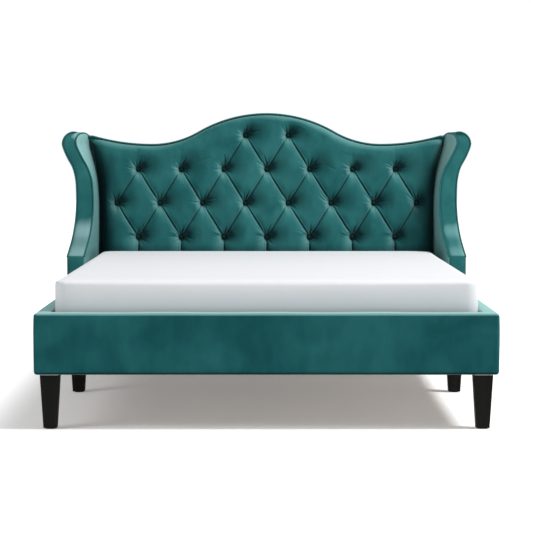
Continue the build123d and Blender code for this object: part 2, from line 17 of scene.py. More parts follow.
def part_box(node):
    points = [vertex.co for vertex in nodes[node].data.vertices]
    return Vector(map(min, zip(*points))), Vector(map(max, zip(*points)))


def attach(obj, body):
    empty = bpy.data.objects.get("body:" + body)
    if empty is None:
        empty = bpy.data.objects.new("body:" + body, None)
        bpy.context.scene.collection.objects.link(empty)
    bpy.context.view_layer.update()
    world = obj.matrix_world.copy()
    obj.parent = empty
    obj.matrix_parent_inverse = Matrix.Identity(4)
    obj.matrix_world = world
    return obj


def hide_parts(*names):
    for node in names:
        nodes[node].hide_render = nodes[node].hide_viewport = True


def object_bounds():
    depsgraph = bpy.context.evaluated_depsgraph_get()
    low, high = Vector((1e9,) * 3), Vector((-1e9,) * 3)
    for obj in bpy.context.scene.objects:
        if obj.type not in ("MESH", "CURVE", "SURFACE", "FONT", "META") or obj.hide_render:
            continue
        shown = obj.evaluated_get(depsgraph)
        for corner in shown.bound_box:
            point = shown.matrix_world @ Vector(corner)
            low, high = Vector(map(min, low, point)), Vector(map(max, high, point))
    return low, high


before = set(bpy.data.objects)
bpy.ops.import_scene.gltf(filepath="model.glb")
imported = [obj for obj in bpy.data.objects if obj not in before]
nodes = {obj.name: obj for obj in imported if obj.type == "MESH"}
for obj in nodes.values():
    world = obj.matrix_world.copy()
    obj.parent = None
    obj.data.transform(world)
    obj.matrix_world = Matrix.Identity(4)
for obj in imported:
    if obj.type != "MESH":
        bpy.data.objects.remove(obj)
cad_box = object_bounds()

scene = bpy.context.scene
print("pieces in the frame:", len(nodes))

# %% [markdown]
# ## The camera
#
# The picture is taken from the foot of the bed with a long lens, a little below the top of the headboard and
# tipped down a few degrees. A long lens from far away keeps the verticals straight, as in a catalogue.

# %% Camera
MM = 0.001
SENSOR_WIDTH = 36.0
PICTURE_SIZE = 533
FOCAL_PIXELS = 1933.0
HORIZON_ROW = 150.3
CAMERA_HEIGHT = 0.977
CAMERA_DISTANCE = 6.708


def placed(name, data):
    """An object in the scene for a camera, a lamp or a mesh."""
    thing = bpy.data.objects.new(name, data)
    scene.collection.objects.link(thing)
    return thing


pitch = atan((PICTURE_SIZE / 2 - HORIZON_ROW) / FOCAL_PIXELS)
camera_data = bpy.data.cameras.new("camera")
camera_data.sensor_width = SENSOR_WIDTH
camera_data.lens = SENSOR_WIDTH * FOCAL_PIXELS / PICTURE_SIZE
camera = placed("camera", camera_data)
camera.location = (0, cad_box[0].y - CAMERA_DISTANCE, CAMERA_HEIGHT)
camera.rotation_euler = (pi / 2 - pitch, 0, 0)
scene.camera = camera
scene.view_settings.view_transform = "Standard"
print("lens", round(camera_data.lens, 1), "mm, tipped down", round(pitch * 180 / pi, 2), "degrees")

# %% [markdown]
# ## Shader maths as expressions
#
# A material is a graph of nodes. Written node by node it is hard to read, so a small class wraps a socket and
# lets ordinary operators build the Math nodes. Every other node comes from one method of the finish. The
# world has a graph of nodes too, so the same class makes it.


# %% A class for sockets and one for finishes
def math_node(operation, reflected=False):
    """An operator that adds a Math node. A reflected one takes its inputs the other way round."""
    def operator(self, other=0.0):
        first, second = (other, self) if reflected else (self, other)
        return self.finish.node("Math", {"operation": operation}, {0: first, 1: second})
    return operator


class Signal:
    """The value of a socket. Its operators add Math nodes to the finish that it belongs to."""

    def __init__(self, finish, socket):
        self.finish = finish
        self.socket = socket

    __add__ = __radd__ = math_node("ADD")
    __mul__ = __rmul__ = math_node("MULTIPLY")
    __sub__, __rsub__ = math_node("SUBTRACT"), math_node("SUBTRACT", reflected=True)
    __pow__ = math_node("POWER")
    __abs__ = math_node("ABSOLUTE")
    larger = math_node("MAXIMUM")

    def between(self, low, high):
        """A colour that runs from low to high as this value runs from 0 to 1."""
        return self.finish.node("Mix", {"data_type": "RGBA"}, {0: self, 6: low, 7: high}, output=2)


class Finish:
    """The graph of a material, or of the world around the bed, under construction."""

    def __init__(self, name, blocks=bpy.data.materials):
        self.block = blocks.new(name)
        self.block.use_nodes = True
        self.tree = self.block.node_tree
        self.tree.nodes.clear()

    def node(self, kind, settings=None, inputs=None, output=0):
        """Add a node: first its settings, then the values or links of its sockets."""
        made = self.tree.nodes.new("ShaderNode" + kind)
        for key, value in (settings or {}).items():
            if key == "stops":
                for stop, (place, level) in zip(made.color_ramp.elements, value):
                    stop.position, stop.color = place, (level, level, level, 1)
            else:
                setattr(made, key, value)
        for key, value in (inputs or {}).items():
            if isinstance(value, Signal):
                self.tree.links.new(value.socket, made.inputs[key])
            else:
                made.inputs[key].default_value = value
        return Signal(self, made.outputs[output]) if made.outputs else None

    def places(self, stretch=(1, 1, 1)):
        """Places on the bed in metres, stretched along its axes."""
        coordinates = self.node("TexCoord", output=3)
        return self.node("VectorMath", {"operation": "MULTIPLY"}, {0: coordinates, 1: stretch})

    def axes(self):
        """The three parts of a place on the bed: across, along and up."""
        across = self.node("SeparateXYZ", {}, {0: self.places()})
        return [Signal(self, part) for part in across.socket.node.outputs]

    def noise(self, scale, detail=2.0, stretch=(1, 1, 1), distortion=0.0):
        """Soft random spots, scale of them to a metre."""
        return self.node("TexNoise", {}, {"Vector": self.places(stretch), "Scale": scale,
                                          "Detail": detail, "Distortion": distortion})

    def stepped(self, value, low, high):
        """The value spread so that it runs from 0 at low to 1 at high."""
        return self.node("ValToRGB", {"stops": ((low, 0), (high, 1))}, {0: value})

    def surface(self, colour, roughness, bump=None, bump_depth=0.0, **sockets):
        """End the material with a shader. The named sockets get plain numbers or colours."""
        inputs = {"Base Color": colour, "Roughness": roughness}
        inputs.update({name.replace("_", " "): value for name, value in sockets.items()})
        if bump is not None:
            heights = {"Strength": 1.0, "Distance": bump_depth, "Height": bump}
            inputs["Normal"] = self.node("Bump", {}, heights)
        shader = self.node("BsdfPrincipled", {}, inputs)
        self.node("OutputMaterial", {}, {"Surface": shader})
        return self.block


print("one class for sockets and one for finishes are ready")

# %% [markdown]
# ## Velvet
#
# Velvet is a cut pile: short upright fibres that look dark when you look down into them and pale where you
# see them from the side, so folds and edges glow. The sheen lobe of the shader does part of that, and a
# painted sheen does the rest: a pale colour mixed in where a surface is seen edge-on. A hand that has
# brushed the pile leaves darker and lighter patches, which here is slow noise in the colour, and the pile
# itself is a very fine bump. The colour is also darkened where the surface around shuts out the light, which
# is painted shade in folds, pits and valleys. And each velvet has light painted in from one fixed way: a
# slope turned towards it gets a painted highlight, and one turned away painted shade. On most pieces that
# way is from above, on the pad from the upper right, and on the wings' inner faces and the welts from the
# front. The dot product of the surface's normal with that way gives it.

# %% One function for every velvet
PATCHES_PER_METRE = 5.0
STROKES_PER_METRE = 26.0
STROKE_SHARE = 0.28
NAP_STEP = (0.36, 0.64)
PILE_PER_METRE = 1500.0
PILE_SHARE = 0.14
PILE_DEPTH = 0.4 * MM
PILE_ROUGHNESS, BRUSHED_ROUGHNESS = 0.9, 0.74
# Painted shade: a darker colour in folds and hollows within this reach.
PAINTED_SHADE_REACH = 45 * MM
SHEEN_TINT = (0.62, 1.0, 0.95, 1)
# Ways of painted light. A face turned towards one gets a painted highlight, one turned away painted shade.
PAINTED_LIGHT_UPPER_RIGHT = (0.8, 0.0, 0.6)
PAINTED_LIGHT_FROM_ABOVE = (0.25, 0.0, 0.97)
PAINTED_LIGHT_FROM_FRONT = (0.0, -0.95, 0.3)
PAINTED_LIGHT_STRAIGHT_ON = (0.0, -1.0, 0.0)
PAINTED_SHADE_RANGE = (0.03, 0.45)
PAINTED_SHADE_SHARE = 0.9
# A painted sheen, a pale colour where a face is seen edge-on, and the colour of the painted shade.
PAINTED_SHEEN_POWER = 3.2
PAINTED_SHADE_POWER = 0.9
PAINTED_SHEEN = (0.42, 0.72, 0.7, 1)
PAINTED_SHADE_COLOUR = (0.001, 0.012, 0.015, 1)


def velvet(name, deep, brushed, painted_highlight, glow, painted_light_way, painted_highlight_range, sheen, painted_shade_colour=PAINTED_SHADE_COLOUR, painted_shade_mask=None):
    """Brushed velvet with painted light: a painted highlight, a painted sheen, and painted shade in hollows
    and on faces turned from the light.
    """
    finish = Finish(name)
    patches = finish.noise(PATCHES_PER_METRE, 3.0, distortion=0.6)
    strokes = finish.noise(STROKES_PER_METRE, 2.0, stretch=(1, 1, 0.45))
    pile = finish.noise(PILE_PER_METRE, 1.0)
    nap = finish.stepped(patches * (1 - STROKE_SHARE) + strokes * STROKE_SHARE, *NAP_STEP)
    colour = (nap * (1 - PILE_SHARE) + pile * PILE_SHARE).between(deep, brushed)
    # Painted light: how far the normal turns towards the way of the painted light.
    toward_painted_light = finish.node("VectorMath", {"operation": "DOT_PRODUCT"},
                             {0: finish.node("TexCoord", output=1), 1: painted_light_way}, output=1)
    painted_lit = finish.stepped(toward_painted_light, *painted_highlight_range)
    along = finish.stepped(0 - toward_painted_light, *PAINTED_SHADE_RANGE)
    painted_sheen_mask = finish.node("LayerWeight", {}, {"Blend": 0.5}, output=1) ** PAINTED_SHEEN_POWER
    # A painted highlight on faces turned towards that way, painted shade on faces turned away.
    colour = painted_lit.between(colour, painted_highlight)
    colour = (along * PAINTED_SHADE_SHARE).between(colour, painted_shade_colour)
    # Painted shade in hollows, from ambient occlusion put into the colour.
    open_share = finish.node("AmbientOcclusion", {"samples": 8}, {"Distance": PAINTED_SHADE_REACH}, output=1)
    colour = (open_share ** PAINTED_SHADE_POWER).between(painted_shade_colour, colour)
    # A painted sheen where a face is seen edge-on; glow is its share.
    colour = (painted_sheen_mask * open_share * glow).between(colour, PAINTED_SHEEN)
    # Painted shade from a mask, as beside the wings.
    if painted_shade_mask is not None:
        colour = painted_shade_mask(finish).between(colour, painted_shade_colour)
    roughness = PILE_ROUGHNESS - nap * (PILE_ROUGHNESS - BRUSHED_ROUGHNESS)
    return finish.surface(colour, roughness, pile, PILE_DEPTH, Sheen_Weight=sheen, Sheen_Roughness=0.3,
                          Sheen_Tint=SHEEN_TINT, Specular_IOR_Level=0.08)


print("the pile is", PILE_DEPTH / MM, "mm deep")

# %% The velvets of the bed
# Painted shade on the pad beside the wings, strongest low down and fading out towards the top.
STRIP_EDGES = (0.65, 0.745)
STRIP_TOP, STRIP_FADE = 1.06, (0.02, 0.17)
STRIP_FLARE = 0.42
STRIP_STRENGTH = 0.9
FLARE_START = 0.710


def painted_shade_beside_wings(finish):
    """A mask of painted shade on the strips beside the wings, fading out towards the top."""
    across, _, height = finish.axes()
    flare = (height - FLARE_START).larger(0.0) ** 2.0
    strip = finish.stepped(abs(across) - flare * STRIP_FLARE, *STRIP_EDGES)
    return strip * finish.stepped(STRIP_TOP - height, *STRIP_FADE) * STRIP_STRENGTH


TEAL = ((0.011, 0.096, 0.1, 1), (0.028, 0.16, 0.16, 1))
# A darker copy of the teal for the rails and footboard: painted shade.
RAIL_SHADED_TEAL = ((0.006, 0.078, 0.086, 1), (0.017, 0.135, 0.14, 1))
WELT_TEAL = ((0.012, 0.11, 0.115, 1), (0.02, 0.14, 0.145, 1))
# The buttons' near-black teal is painted shade in the deep pits.
BUTTON_PAINTED_SHADE_TEAL = ((0.002, 0.025, 0.028, 1), (0.004, 0.04, 0.042, 1))
# Each velvet: deep and brushed tones, painted highlight colour, painted sheen share, way and range of painted
# light, real sheen.
pad_velvet = velvet("pad_velvet", *TEAL, (0.13, 0.32, 0.31, 1), 0.6, PAINTED_LIGHT_UPPER_RIGHT, (0.14, 0.9), 0.7,
                    painted_shade_mask=painted_shade_beside_wings)
panel_velvet = velvet("panel_velvet", *TEAL, (0.2, 0.42, 0.42, 1), 0.7, PAINTED_LIGHT_FROM_ABOVE, (0.3, 0.64), 0.7)
# The right and left wing facings are a dimmer and a lighter copy of one velvet: painted light on the left.
right_facing_painted_dim = velvet("right_facing_velvet", *TEAL, (0.16, 0.36, 0.36, 1), 0.7, PAINTED_LIGHT_FROM_ABOVE, (0.5, 0.68), 0.7)
left_facing_painted_lit = velvet("left_facing_velvet", *TEAL, (0.32, 0.5, 0.51, 1), 0.7, PAINTED_LIGHT_FROM_ABOVE, (0.4, 0.74), 0.7)
# The wings' inner faces get a strong painted highlight where they turn to the front.
tongue_velvet = velvet("tongue_velvet", *TEAL, (0.38, 0.64, 0.62, 1), 0.2, PAINTED_LIGHT_FROM_FRONT, (0.0, 0.8), 0.4)
# The rails' upward faces get a painted highlight, and their tops a painted sheen.
rail_velvet = velvet("rail_velvet", *RAIL_SHADED_TEAL, (0.3, 0.52, 0.5, 1), 0.45, PAINTED_LIGHT_FROM_ABOVE, (0.2, 1.0), 0.6)
# The welts get a slight painted highlight where they face the front.
welt_velvet = velvet("welt_velvet", *WELT_TEAL, (0.03, 0.15, 0.155, 1), 0.1, PAINTED_LIGHT_STRAIGHT_ON, (0.5, 1.0), 0.12,
                     painted_shade_colour=(0.006, 0.06, 0.062, 1))
button_velvet = velvet("button_velvet", *BUTTON_PAINTED_SHADE_TEAL, (0.01, 0.07, 0.07, 1), 0.05, PAINTED_LIGHT_FROM_ABOVE, (0.12, 0.9), 0.15,
                       painted_shade_colour=(0.0, 0.004, 0.005, 1))
print("velvets:", [made.name for made in bpy.data.materials if made.name.endswith("_velvet")])

# %% [markdown]
# ## The other finishes
#
# The mattress has a white knitted cover. The legs are black lacquer with a satin gloss. What is hidden under
# the bed is pine, plywood, zinc-plated steel and moulded nylon. Each gets its own grain or texture, since the
# bed is also looked at from below and behind.

# %% Knit, wood, steel and nylon
KNIT_PER_METRE = 420.0


def knitted(name, colour, shaded):
    """A soft knitted cover with a fine rib."""
    finish = Finish(name)
    cloud = finish.noise(7.0, 2.0)
    loops = finish.node("TexWave", {"bands_direction": "DIAGONAL"},
                        {"Vector": finish.places(), "Scale": KNIT_PER_METRE / 6, "Distortion": 0.6})
    fuzz = finish.noise(KNIT_PER_METRE * 2, 2.0)
    tone = (cloud * 0.7 + fuzz * 0.3).between(shaded, colour)
    return finish.surface(tone, 0.86 - fuzz * 0.1, loops * 0.5 + fuzz * 0.5, 0.25 * MM,
                          Sheen_Weight=0.15, Sheen_Roughness=0.5, Specular_IOR_Level=0.25)


def grained(name, pale, dark, stretch, roughness):
    """Planed wood whose grain runs along one axis."""
    finish = Finish(name)
    figure = finish.noise(16.0, 5.0, stretch=stretch, distortion=1.4)
    pores = finish.noise(300.0, 2.0, stretch=stretch)
    grain = finish.stepped(figure, 0.35, 0.68)
    tone = (grain * 0.8 + pores * 0.2).between(pale, dark)
    return finish.surface(tone, roughness + pores * 0.15, grain * 0.4 + pores * 0.6, 0.15 * MM)


def lacquered(name, colour, worn):
    """Black lacquer over wood, with the open grain just showing."""
    finish = Finish(name)
    figure = finish.noise(24.0, 4.0, stretch=(1, 1, 0.08), distortion=0.8)
    dust = finish.noise(140.0, 2.0)
    tone = finish.stepped(figure, 0.42, 0.7).between(colour, worn)
    return finish.surface(tone, 0.4 + dust * 0.14, figure, 0.12 * MM, Specular_IOR_Level=0.12)


def speckled(name, colour, paler, spots_per_metre, detail, roughness, spread, depth, **sockets):
    """An even stuff with fine spots: steel with its spangle, moulded nylon or open foam."""
    finish = Finish(name)
    spots = finish.noise(spots_per_metre, detail)
    rough = spots * spread + roughness if spread else roughness
    return finish.surface(spots.between(colour, paler), rough, spots, depth * MM, **sockets)


mattress_knit = knitted("mattress_knit", (0.79, 0.80, 0.83, 1), (0.755, 0.765, 0.795, 1))
NYLON = (900.0, 2.0, 0.45, 0.2, 0.08)
cord_nylon = speckled("cord_nylon", (0.6, 0.6, 0.57, 1), (0.72, 0.72, 0.7, 1), *NYLON)
black_nylon = speckled("black_nylon", (0.02, 0.02, 0.02, 1), (0.04, 0.04, 0.04, 1), *NYLON)
steel = speckled("zinc_steel", (0.52, 0.53, 0.55, 1), (0.68, 0.69, 0.7, 1), 90.0, 3.0, 0.3, 0.25, 0.05,
                 Metallic=1.0)
black_lacquer = lacquered("black_lacquer", (0.004, 0.0036, 0.0032, 1), (0.009, 0.008, 0.007, 1))
PINE = ((0.66, 0.47, 0.27, 1), (0.46, 0.28, 0.13, 1))
pine_across = grained("pine_across", *PINE, (0.06, 1, 1), 0.55)
pine_along = grained("pine_along", *PINE, (1, 0.06, 1), 0.55)
pine_upright = grained("pine_upright", (0.64, 0.45, 0.26, 1), (0.45, 0.27, 0.13, 1), (1, 1, 0.06), 0.55)
birch_ply = grained("birch_ply", (0.7, 0.55, 0.36, 1), (0.55, 0.4, 0.24, 1), (1, 1, 0.1), 0.6)
foam = speckled("foam", (0.62, 0.56, 0.4, 1), (0.8, 0.75, 0.6, 1), 500.0, 3.0, 0.9, 0.0, 0.5)
print("materials in the file:", len(bpy.data.materials))

# %% [markdown]
# ## Finishes for the hard pieces
#
# Wood keeps the direction of its grain: slats and rails across the bed have it along X, planks and beams
# along the bed along Y, and posts upwards. A table of how names start picks the finish for each node.

# %% Dress the nodes that stay
NODE_FINISHES = [
    (("leg_plates", "leg_screws", "beam_hangers", "corner_brackets", "bed_bolts"), steel),
    (("slat_end_holders", "leg_glides"), black_nylon),
    (("leg_",), black_lacquer),
    (("headboard_board",), birch_ply),
    (("headboard_post", "wing_core"), pine_upright),
    (("slat_", "headboard_", "footboard_core", "cross_bearer", "corner_blocks"), pine_across),
    (("side_rail_core", "ledger", "centre_beam"), pine_along),
    (("tuft_ties",), cord_nylon),
]


dressed = []
for name, node in nodes.items():
    finish = next((finish for starts, finish in NODE_FINISHES if name.startswith(starts)), None)
    if finish is not None:
        node.data.materials.clear()
        node.data.materials.append(finish)
        dressed.append(name)
print("nodes dressed:", len(dressed))

# %% [markdown]
# ## Helpers for upholstery
#
# A padded piece is a closed skin. Most are a sheet of points in rows and columns, so one helper joins such a
# sheet into faces and another closes it with a back and a rim. A piece made for the right side is mirrored
# for the left by changing the sign of X and turning its faces over.


# %% Sheets, skins and pieces
def sheet_faces(rows, columns, first=0, flip=False):
    """Four-sided faces over a sheet of points that are counted row by row."""
    start = first + (np.arange(rows - 1)[:, None] * columns + np.arange(columns - 1)[None, :]).ravel()
    corners = [start, start + 1, start + columns + 1, start + columns]
    if flip:
        corners.reverse()
    return np.stack(corners, axis=1)


def ring_faces(rings, sides):
    """Faces of a tube of rings, with both ends closed."""
    faces = [(ring * sides + index, ring * sides + (index + 1) % sides,
              (ring + 1) * sides + (index + 1) % sides, (ring + 1) * sides + index)
             for ring in range(rings - 1) for index in range(sides)]
    last = (rings - 1) * sides
    return faces + [tuple(range(sides))[::-1], tuple(range(last, last + sides))]


def rim_faces(rows, columns, back_first):
    """Faces between the border of a front sheet and that of a like sheet behind it."""
    index = np.arange(rows * columns).reshape(rows, columns)
    border = np.concatenate([index[0, :], index[1:, -1], index[-1, -2::-1], index[-2:0:-1, 0]])
    after = np.roll(border, -1)
    return np.stack([after, border, border + back_first, after + back_first], axis=1)


def skin(front, back):
    """A closed skin from two sheets of the same size: its points and its faces."""
    rows, columns = front.shape[:2]
    count = rows * columns
    faces = [sheet_faces(rows, columns), sheet_faces(rows, columns, count, flip=True),
             rim_faces(rows, columns, count)]
    return np.concatenate([front.reshape(-1, 3), back.reshape(-1, 3)]), np.concatenate(faces)


def make_mesh(name, points, faces):
    """A mesh with smooth faces whose normals point outwards."""
    mesh = bpy.data.meshes.new(name)
    mesh.from_pydata(np.asarray(points, float).tolist(), [], [list(face) for face in faces])
    mesh.update()
    mesh.shade_smooth()
    return mesh


def add_piece(name, points, faces, finish, replaced, slot="velvet", body="bed_frame", sharp=None, fill=None):
    """Add a modelled piece that rides on a body and stands for a node of the frame. The fill is not used."""
    mesh = make_mesh(name, points, faces)
    if sharp is not None:
        mesh.set_sharp_from_angle(angle=radians(sharp))
    mesh.materials.append(finish)
    piece = placed(name, mesh)
    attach(piece, body)
    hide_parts(replaced)


def add_on_both_sides(name, points, faces, finishes, replaced, **options):
    """Add a piece on the right side, and its mirror image on the left."""
    for side, finish in zip(("_right", "_left"), finishes):
        add_piece(name + side, points, faces, finish, replaced + side, **options)
        points, faces = points * (-1, 1, 1), [face[::-1] for face in faces]


def corners_of(node):
    """A node's lowest and highest corner as arrays."""
    low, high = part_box(node)
    return np.array(low), np.array(high)


def mix(start, end, share):
    """What lies between two values or points."""
    return start + (end - start) * share


def unit(vectors):
    """The same vectors at length one."""
    return vectors / np.linalg.norm(vectors, axis=-1, keepdims=True)


def joined(*skins):
    """Several skins as one: their points and faces."""
    points, faces, count = [], [], 0
    for some_points, some_faces in skins:
        points.append(np.asarray(some_points))
        faces += [tuple(int(corner) + count for corner in face) for face in some_faces]
        count += len(some_points)
    return np.concatenate(points), faces


def island_middles(node, reach):
    """The middles of a node's separate solids, each smaller than reach."""
    left = np.array([vertex.co[:] for vertex in nodes[node].data.vertices])
    middles = []
    while len(left):
        near = np.linalg.norm(left - left[0], axis=1) < reach
        middles.append((left[near].min(axis=0) + left[near].max(axis=0)) / 2)
        left = left[~near]
    return np.array(middles)


pad_low, pad_high = corners_of("tufted_pad")
back_low, back_high = corners_of("headboard_back_cover")
BUTTON_REACH = 30 * MM
buttons = island_middles("tuft_buttons", BUTTON_REACH)
print("buttons found in the frame:", len(buttons))

# %% [markdown]
# ## The headboard's outline
#
# The top line is three arcs on each side: over the crest, through the dip and up to the shoulder. A fourth
# turns the corner behind the wing. Each arc is level at one end, so its radius follows from how far it runs
# and how far it rises, and the height over any place across the bed is a short formula.

# %% Top line
CREST = 1.142
DIP = 1.0025
DIP_OFFSET = 0.520
CREST_SHARE = 0.59
SHOULDER = 1.047
SHOULDER_OFFSET = 0.8107
CORNER_DROP = 0.045
HALF_WIDTH = float(back_high[0])


def level_arc_radius(run, rise):
    """The radius of an arc that starts level and ends this far along and up."""
    return (run ** 2 + rise ** 2) / (2 * rise)


TURN_OFFSET = DIP_OFFSET * CREST_SHARE
CREST_RADIUS = level_arc_radius(TURN_OFFSET, (CREST - DIP) * CREST_SHARE)
DIP_RADIUS = level_arc_radius(DIP_OFFSET - TURN_OFFSET, (CREST - DIP) * (1 - CREST_SHARE))
SHOULDER_RADIUS = level_arc_radius(SHOULDER_OFFSET - DIP_OFFSET, SHOULDER - DIP)
CORNER_RADIUS = level_arc_radius(HALF_WIDTH - SHOULDER_OFFSET, CORNER_DROP)


def sag(radius, run):
    """How far an arc has left its level tangent after a run."""
    run = np.clip(run, -radius, radius)
    return radius - np.sqrt(radius ** 2 - run ** 2)


def top_line(x):
    """The height of the headboard's top edge at a place across the bed."""
    x = np.abs(x)
    over_crest = CREST - sag(CREST_RADIUS, x)
    in_dip = DIP + sag(DIP_RADIUS, DIP_OFFSET - x)
    to_shoulder = DIP + sag(SHOULDER_RADIUS, x - DIP_OFFSET)
    at_corner = SHOULDER - sag(CORNER_RADIUS, x - SHOULDER_OFFSET)
    return np.select([x < TURN_OFFSET, x < DIP_OFFSET, x < SHOULDER_OFFSET],
                     [over_crest, in_dip, to_shoulder], at_corner)


print("radii of the top line:", [round(radius, 3) for radius in
                                 (CREST_RADIUS, DIP_RADIUS, SHOULDER_RADIUS, CORNER_RADIUS)])

# %% [markdown]
# ## Where the folds run
#
# In diamond tufting the cover is folded from each button to its neighbours above, and below the last row the
# spare cloth runs straight down. Above the top buttons a short shallow fold fades out towards the edge.

# %% Folds between the buttons
PITCH_ACROSS = 0.195
UP_FOLD_REACH = 85 * MM
UP_FOLD_END = 30 * MM
DOWN_FOLD_OVERRUN = 20 * MM
row_heights = np.unique(np.round(buttons[:, 2], 3))
pitch_up = float(np.diff(row_heights).mean())

diagonal_folds, down_folds, up_folds = [], [], []
for x, _, z in buttons:
    above = [other for other in buttons
             if abs(other[2] - z - pitch_up) < pitch_up / 4 and abs(other[0] - x) < PITCH_ACROSS * 0.6]
    diagonal_folds += [((x, z), (other[0], other[2])) for other in above]
    if not above:
        up_folds.append(((x, z), (x, min(z + UP_FOLD_REACH, float(top_line(x)) - UP_FOLD_END))))
    if z - row_heights[0] < pitch_up / 4:
        down_folds.append(((x, pad_low[2] - DOWN_FOLD_OVERRUN), (x, z)))
print("folds:", len(diagonal_folds), "diagonal,", len(down_folds), "down,", len(up_folds), "up")

# %% [markdown]
# ## How deep the cover lies
#
# Depth is measured from the front of the pad. Each fold draws the pillows down to a crease with one lip over
# the other, each button pulls a steep pit that is wider on its right, and short wrinkles run out of the pit
# like rays. The wrinkles come from seeded random numbers, so every run gives the same cloth.

# %% Depth of folds, pits and wrinkles
PILLOW_REACH = 50 * MM
PILLOW_DEPTH = 8 * MM
PILLOW_POWER = 2.1
UP_FOLD_SHARE = 0.4
CHANNEL_REACH = 88 * MM
CHANNEL_DEPTH = 25 * MM
FOLD_END = 22 * MM
CREASE_WIDTH = 3.3 * MM
CREASE_DEPTH = 5.2 * MM
CHANNEL_CREASE = CREASE_DEPTH * 1.2
LEFT_LEANING = 0.55
LIP_OFFSET = 6.0 * MM
LIP_WIDTH = 3.4 * MM
LIP_HEIGHT = 1.3 * MM
PIT_DEPTH = 40 * MM
PIT_FLOOR = 8 * MM
PIT_SPREAD = (9 * MM, 36 * MM)
PIT_LEAN = radians(2)
WRINKLE_AREA = 80 * MM
WRINKLES_PER_BUTTON = 13
WRINKLE_REACH = (30 * MM, 56 * MM)
UPWARD_GROWTH = 1.35
WRINKLE_WIDTH = 3.0 * MM
WRINKLE_DEPTH = 4.6 * MM


def fold_depth(x, z, fold, pillow_depth, crease_depth, reach=PILLOW_REACH):
    """How far one fold draws the cover in at places x, z: its pillow's side, and its crease with a lip."""
    (x0, z0), (x1, z1) = fold
    run, rise = x1 - x0, z1 - z0
    length = (run ** 2 + rise ** 2) ** 0.5
    along = ((x - x0) * run + (z - z0) * rise) / length
    across = ((z - z0) * run - (x - x0) * rise) / length * (1 if run >= 0 else -1)
    past = along - np.clip(along, 0, length)
    away = np.sqrt(across ** 2 + past ** 2)
    pillow = pillow_depth * np.clip(1 - away / reach, 0, 1) ** PILLOW_POWER * np.exp(-(past / FOLD_END) ** 2)
    leaning = LEFT_LEANING if run < 0 else 1.0
    crease = crease_depth * leaning * np.exp(-(away / CREASE_WIDTH) ** 2)
    lip = LIP_HEIGHT * np.exp(-((across - LIP_OFFSET) / LIP_WIDTH) ** 2 - (past / LIP_WIDTH) ** 2)
    return pillow, crease - lip * crease_depth / CREASE_DEPTH


def wrinkle_depth(x, z, seed):
    """Thin grooves that run out of one button's pit."""
    random = np.random.default_rng(seed)
    around = np.arctan2(z, x)
    radius = np.hypot(x, z)
    depth = np.zeros_like(x)
    for index in range(WRINKLES_PER_BUTTON):
        angle = 2 * pi * (index + random.uniform(-0.32, 0.32)) / WRINKLES_PER_BUTTON
        reach = random.uniform(*WRINKLE_REACH) * (UPWARD_GROWTH if sin(angle) > 0 else 1.0)
        strength = random.uniform(0.45, 1.0) * (UPWARD_GROWTH if sin(angle) > 0.3 else 1.0)
        curl = random.uniform(-4, 4)
        turned = (around - angle + curl * (radius - PIT_FLOOR) + pi) % (2 * pi) - pi
        aside = turned * radius
        fade = np.clip((reach - radius) / reach, 0, 1) * np.clip(radius / PIT_FLOOR - 0.7, 0, 1)
        depth += strength * WRINKLE_DEPTH * fade * np.exp(-(aside / WRINKLE_WIDTH) ** 2)
    return depth


def cover_depth(x, z, fine):
    """How far the cover lies behind the pad's front. Fine adds the creases and the wrinkles."""
    pillow, crease = np.zeros_like(x), np.zeros_like(x)
    kinds = ((diagonal_folds, (PILLOW_DEPTH, CREASE_DEPTH)), (up_folds, (PILLOW_DEPTH * UP_FOLD_SHARE, 0)),
             (down_folds, (CHANNEL_DEPTH, CHANNEL_CREASE, CHANNEL_REACH)))
    for folds, sizes in kinds:
        for fold in folds:
            side, line = fold_depth(x, z, fold, *sizes)
            pillow = np.maximum(pillow, side)
            crease = np.where(np.abs(line) > np.abs(crease), line, crease)
    pit, wrinkles = np.zeros_like(x), np.zeros_like(x)
    for seed, (button_x, _, button_z) in enumerate(buttons):
        away = np.hypot(x - button_x, z - button_z)
        around = np.arctan2(z - button_z, x - button_x)
        reach = mix(*PIT_SPREAD, (1 + np.cos(around - PIT_LEAN)) / 2)
        pull = PIT_DEPTH * np.exp(-np.clip(away - PIT_FLOOR, 0, None) / reach)
        pit = np.maximum(pit, pull)
        if fine:
            near = away < WRINKLE_AREA
            wrinkles[near] += wrinkle_depth(x[near] - button_x, z[near] - button_z, seed)
    depth = (pillow ** 2 + pit ** 2) ** 0.5
    if fine:
        depth += crease * np.clip(1 - pit / PIT_DEPTH, 0, 1) ** 0.5 + wrinkles
    return depth


# %% [markdown]
# ## Letting the cloth puff
#
# Foam under a cover pushes it out evenly wherever no thread holds it. Blender's cloth does the same with a
# little pressure, no gravity and the buttons and edges pinned. The simulation runs on a coarse sheet. How far
# each point moved is capped, and that movement is spread over the fine sheet.


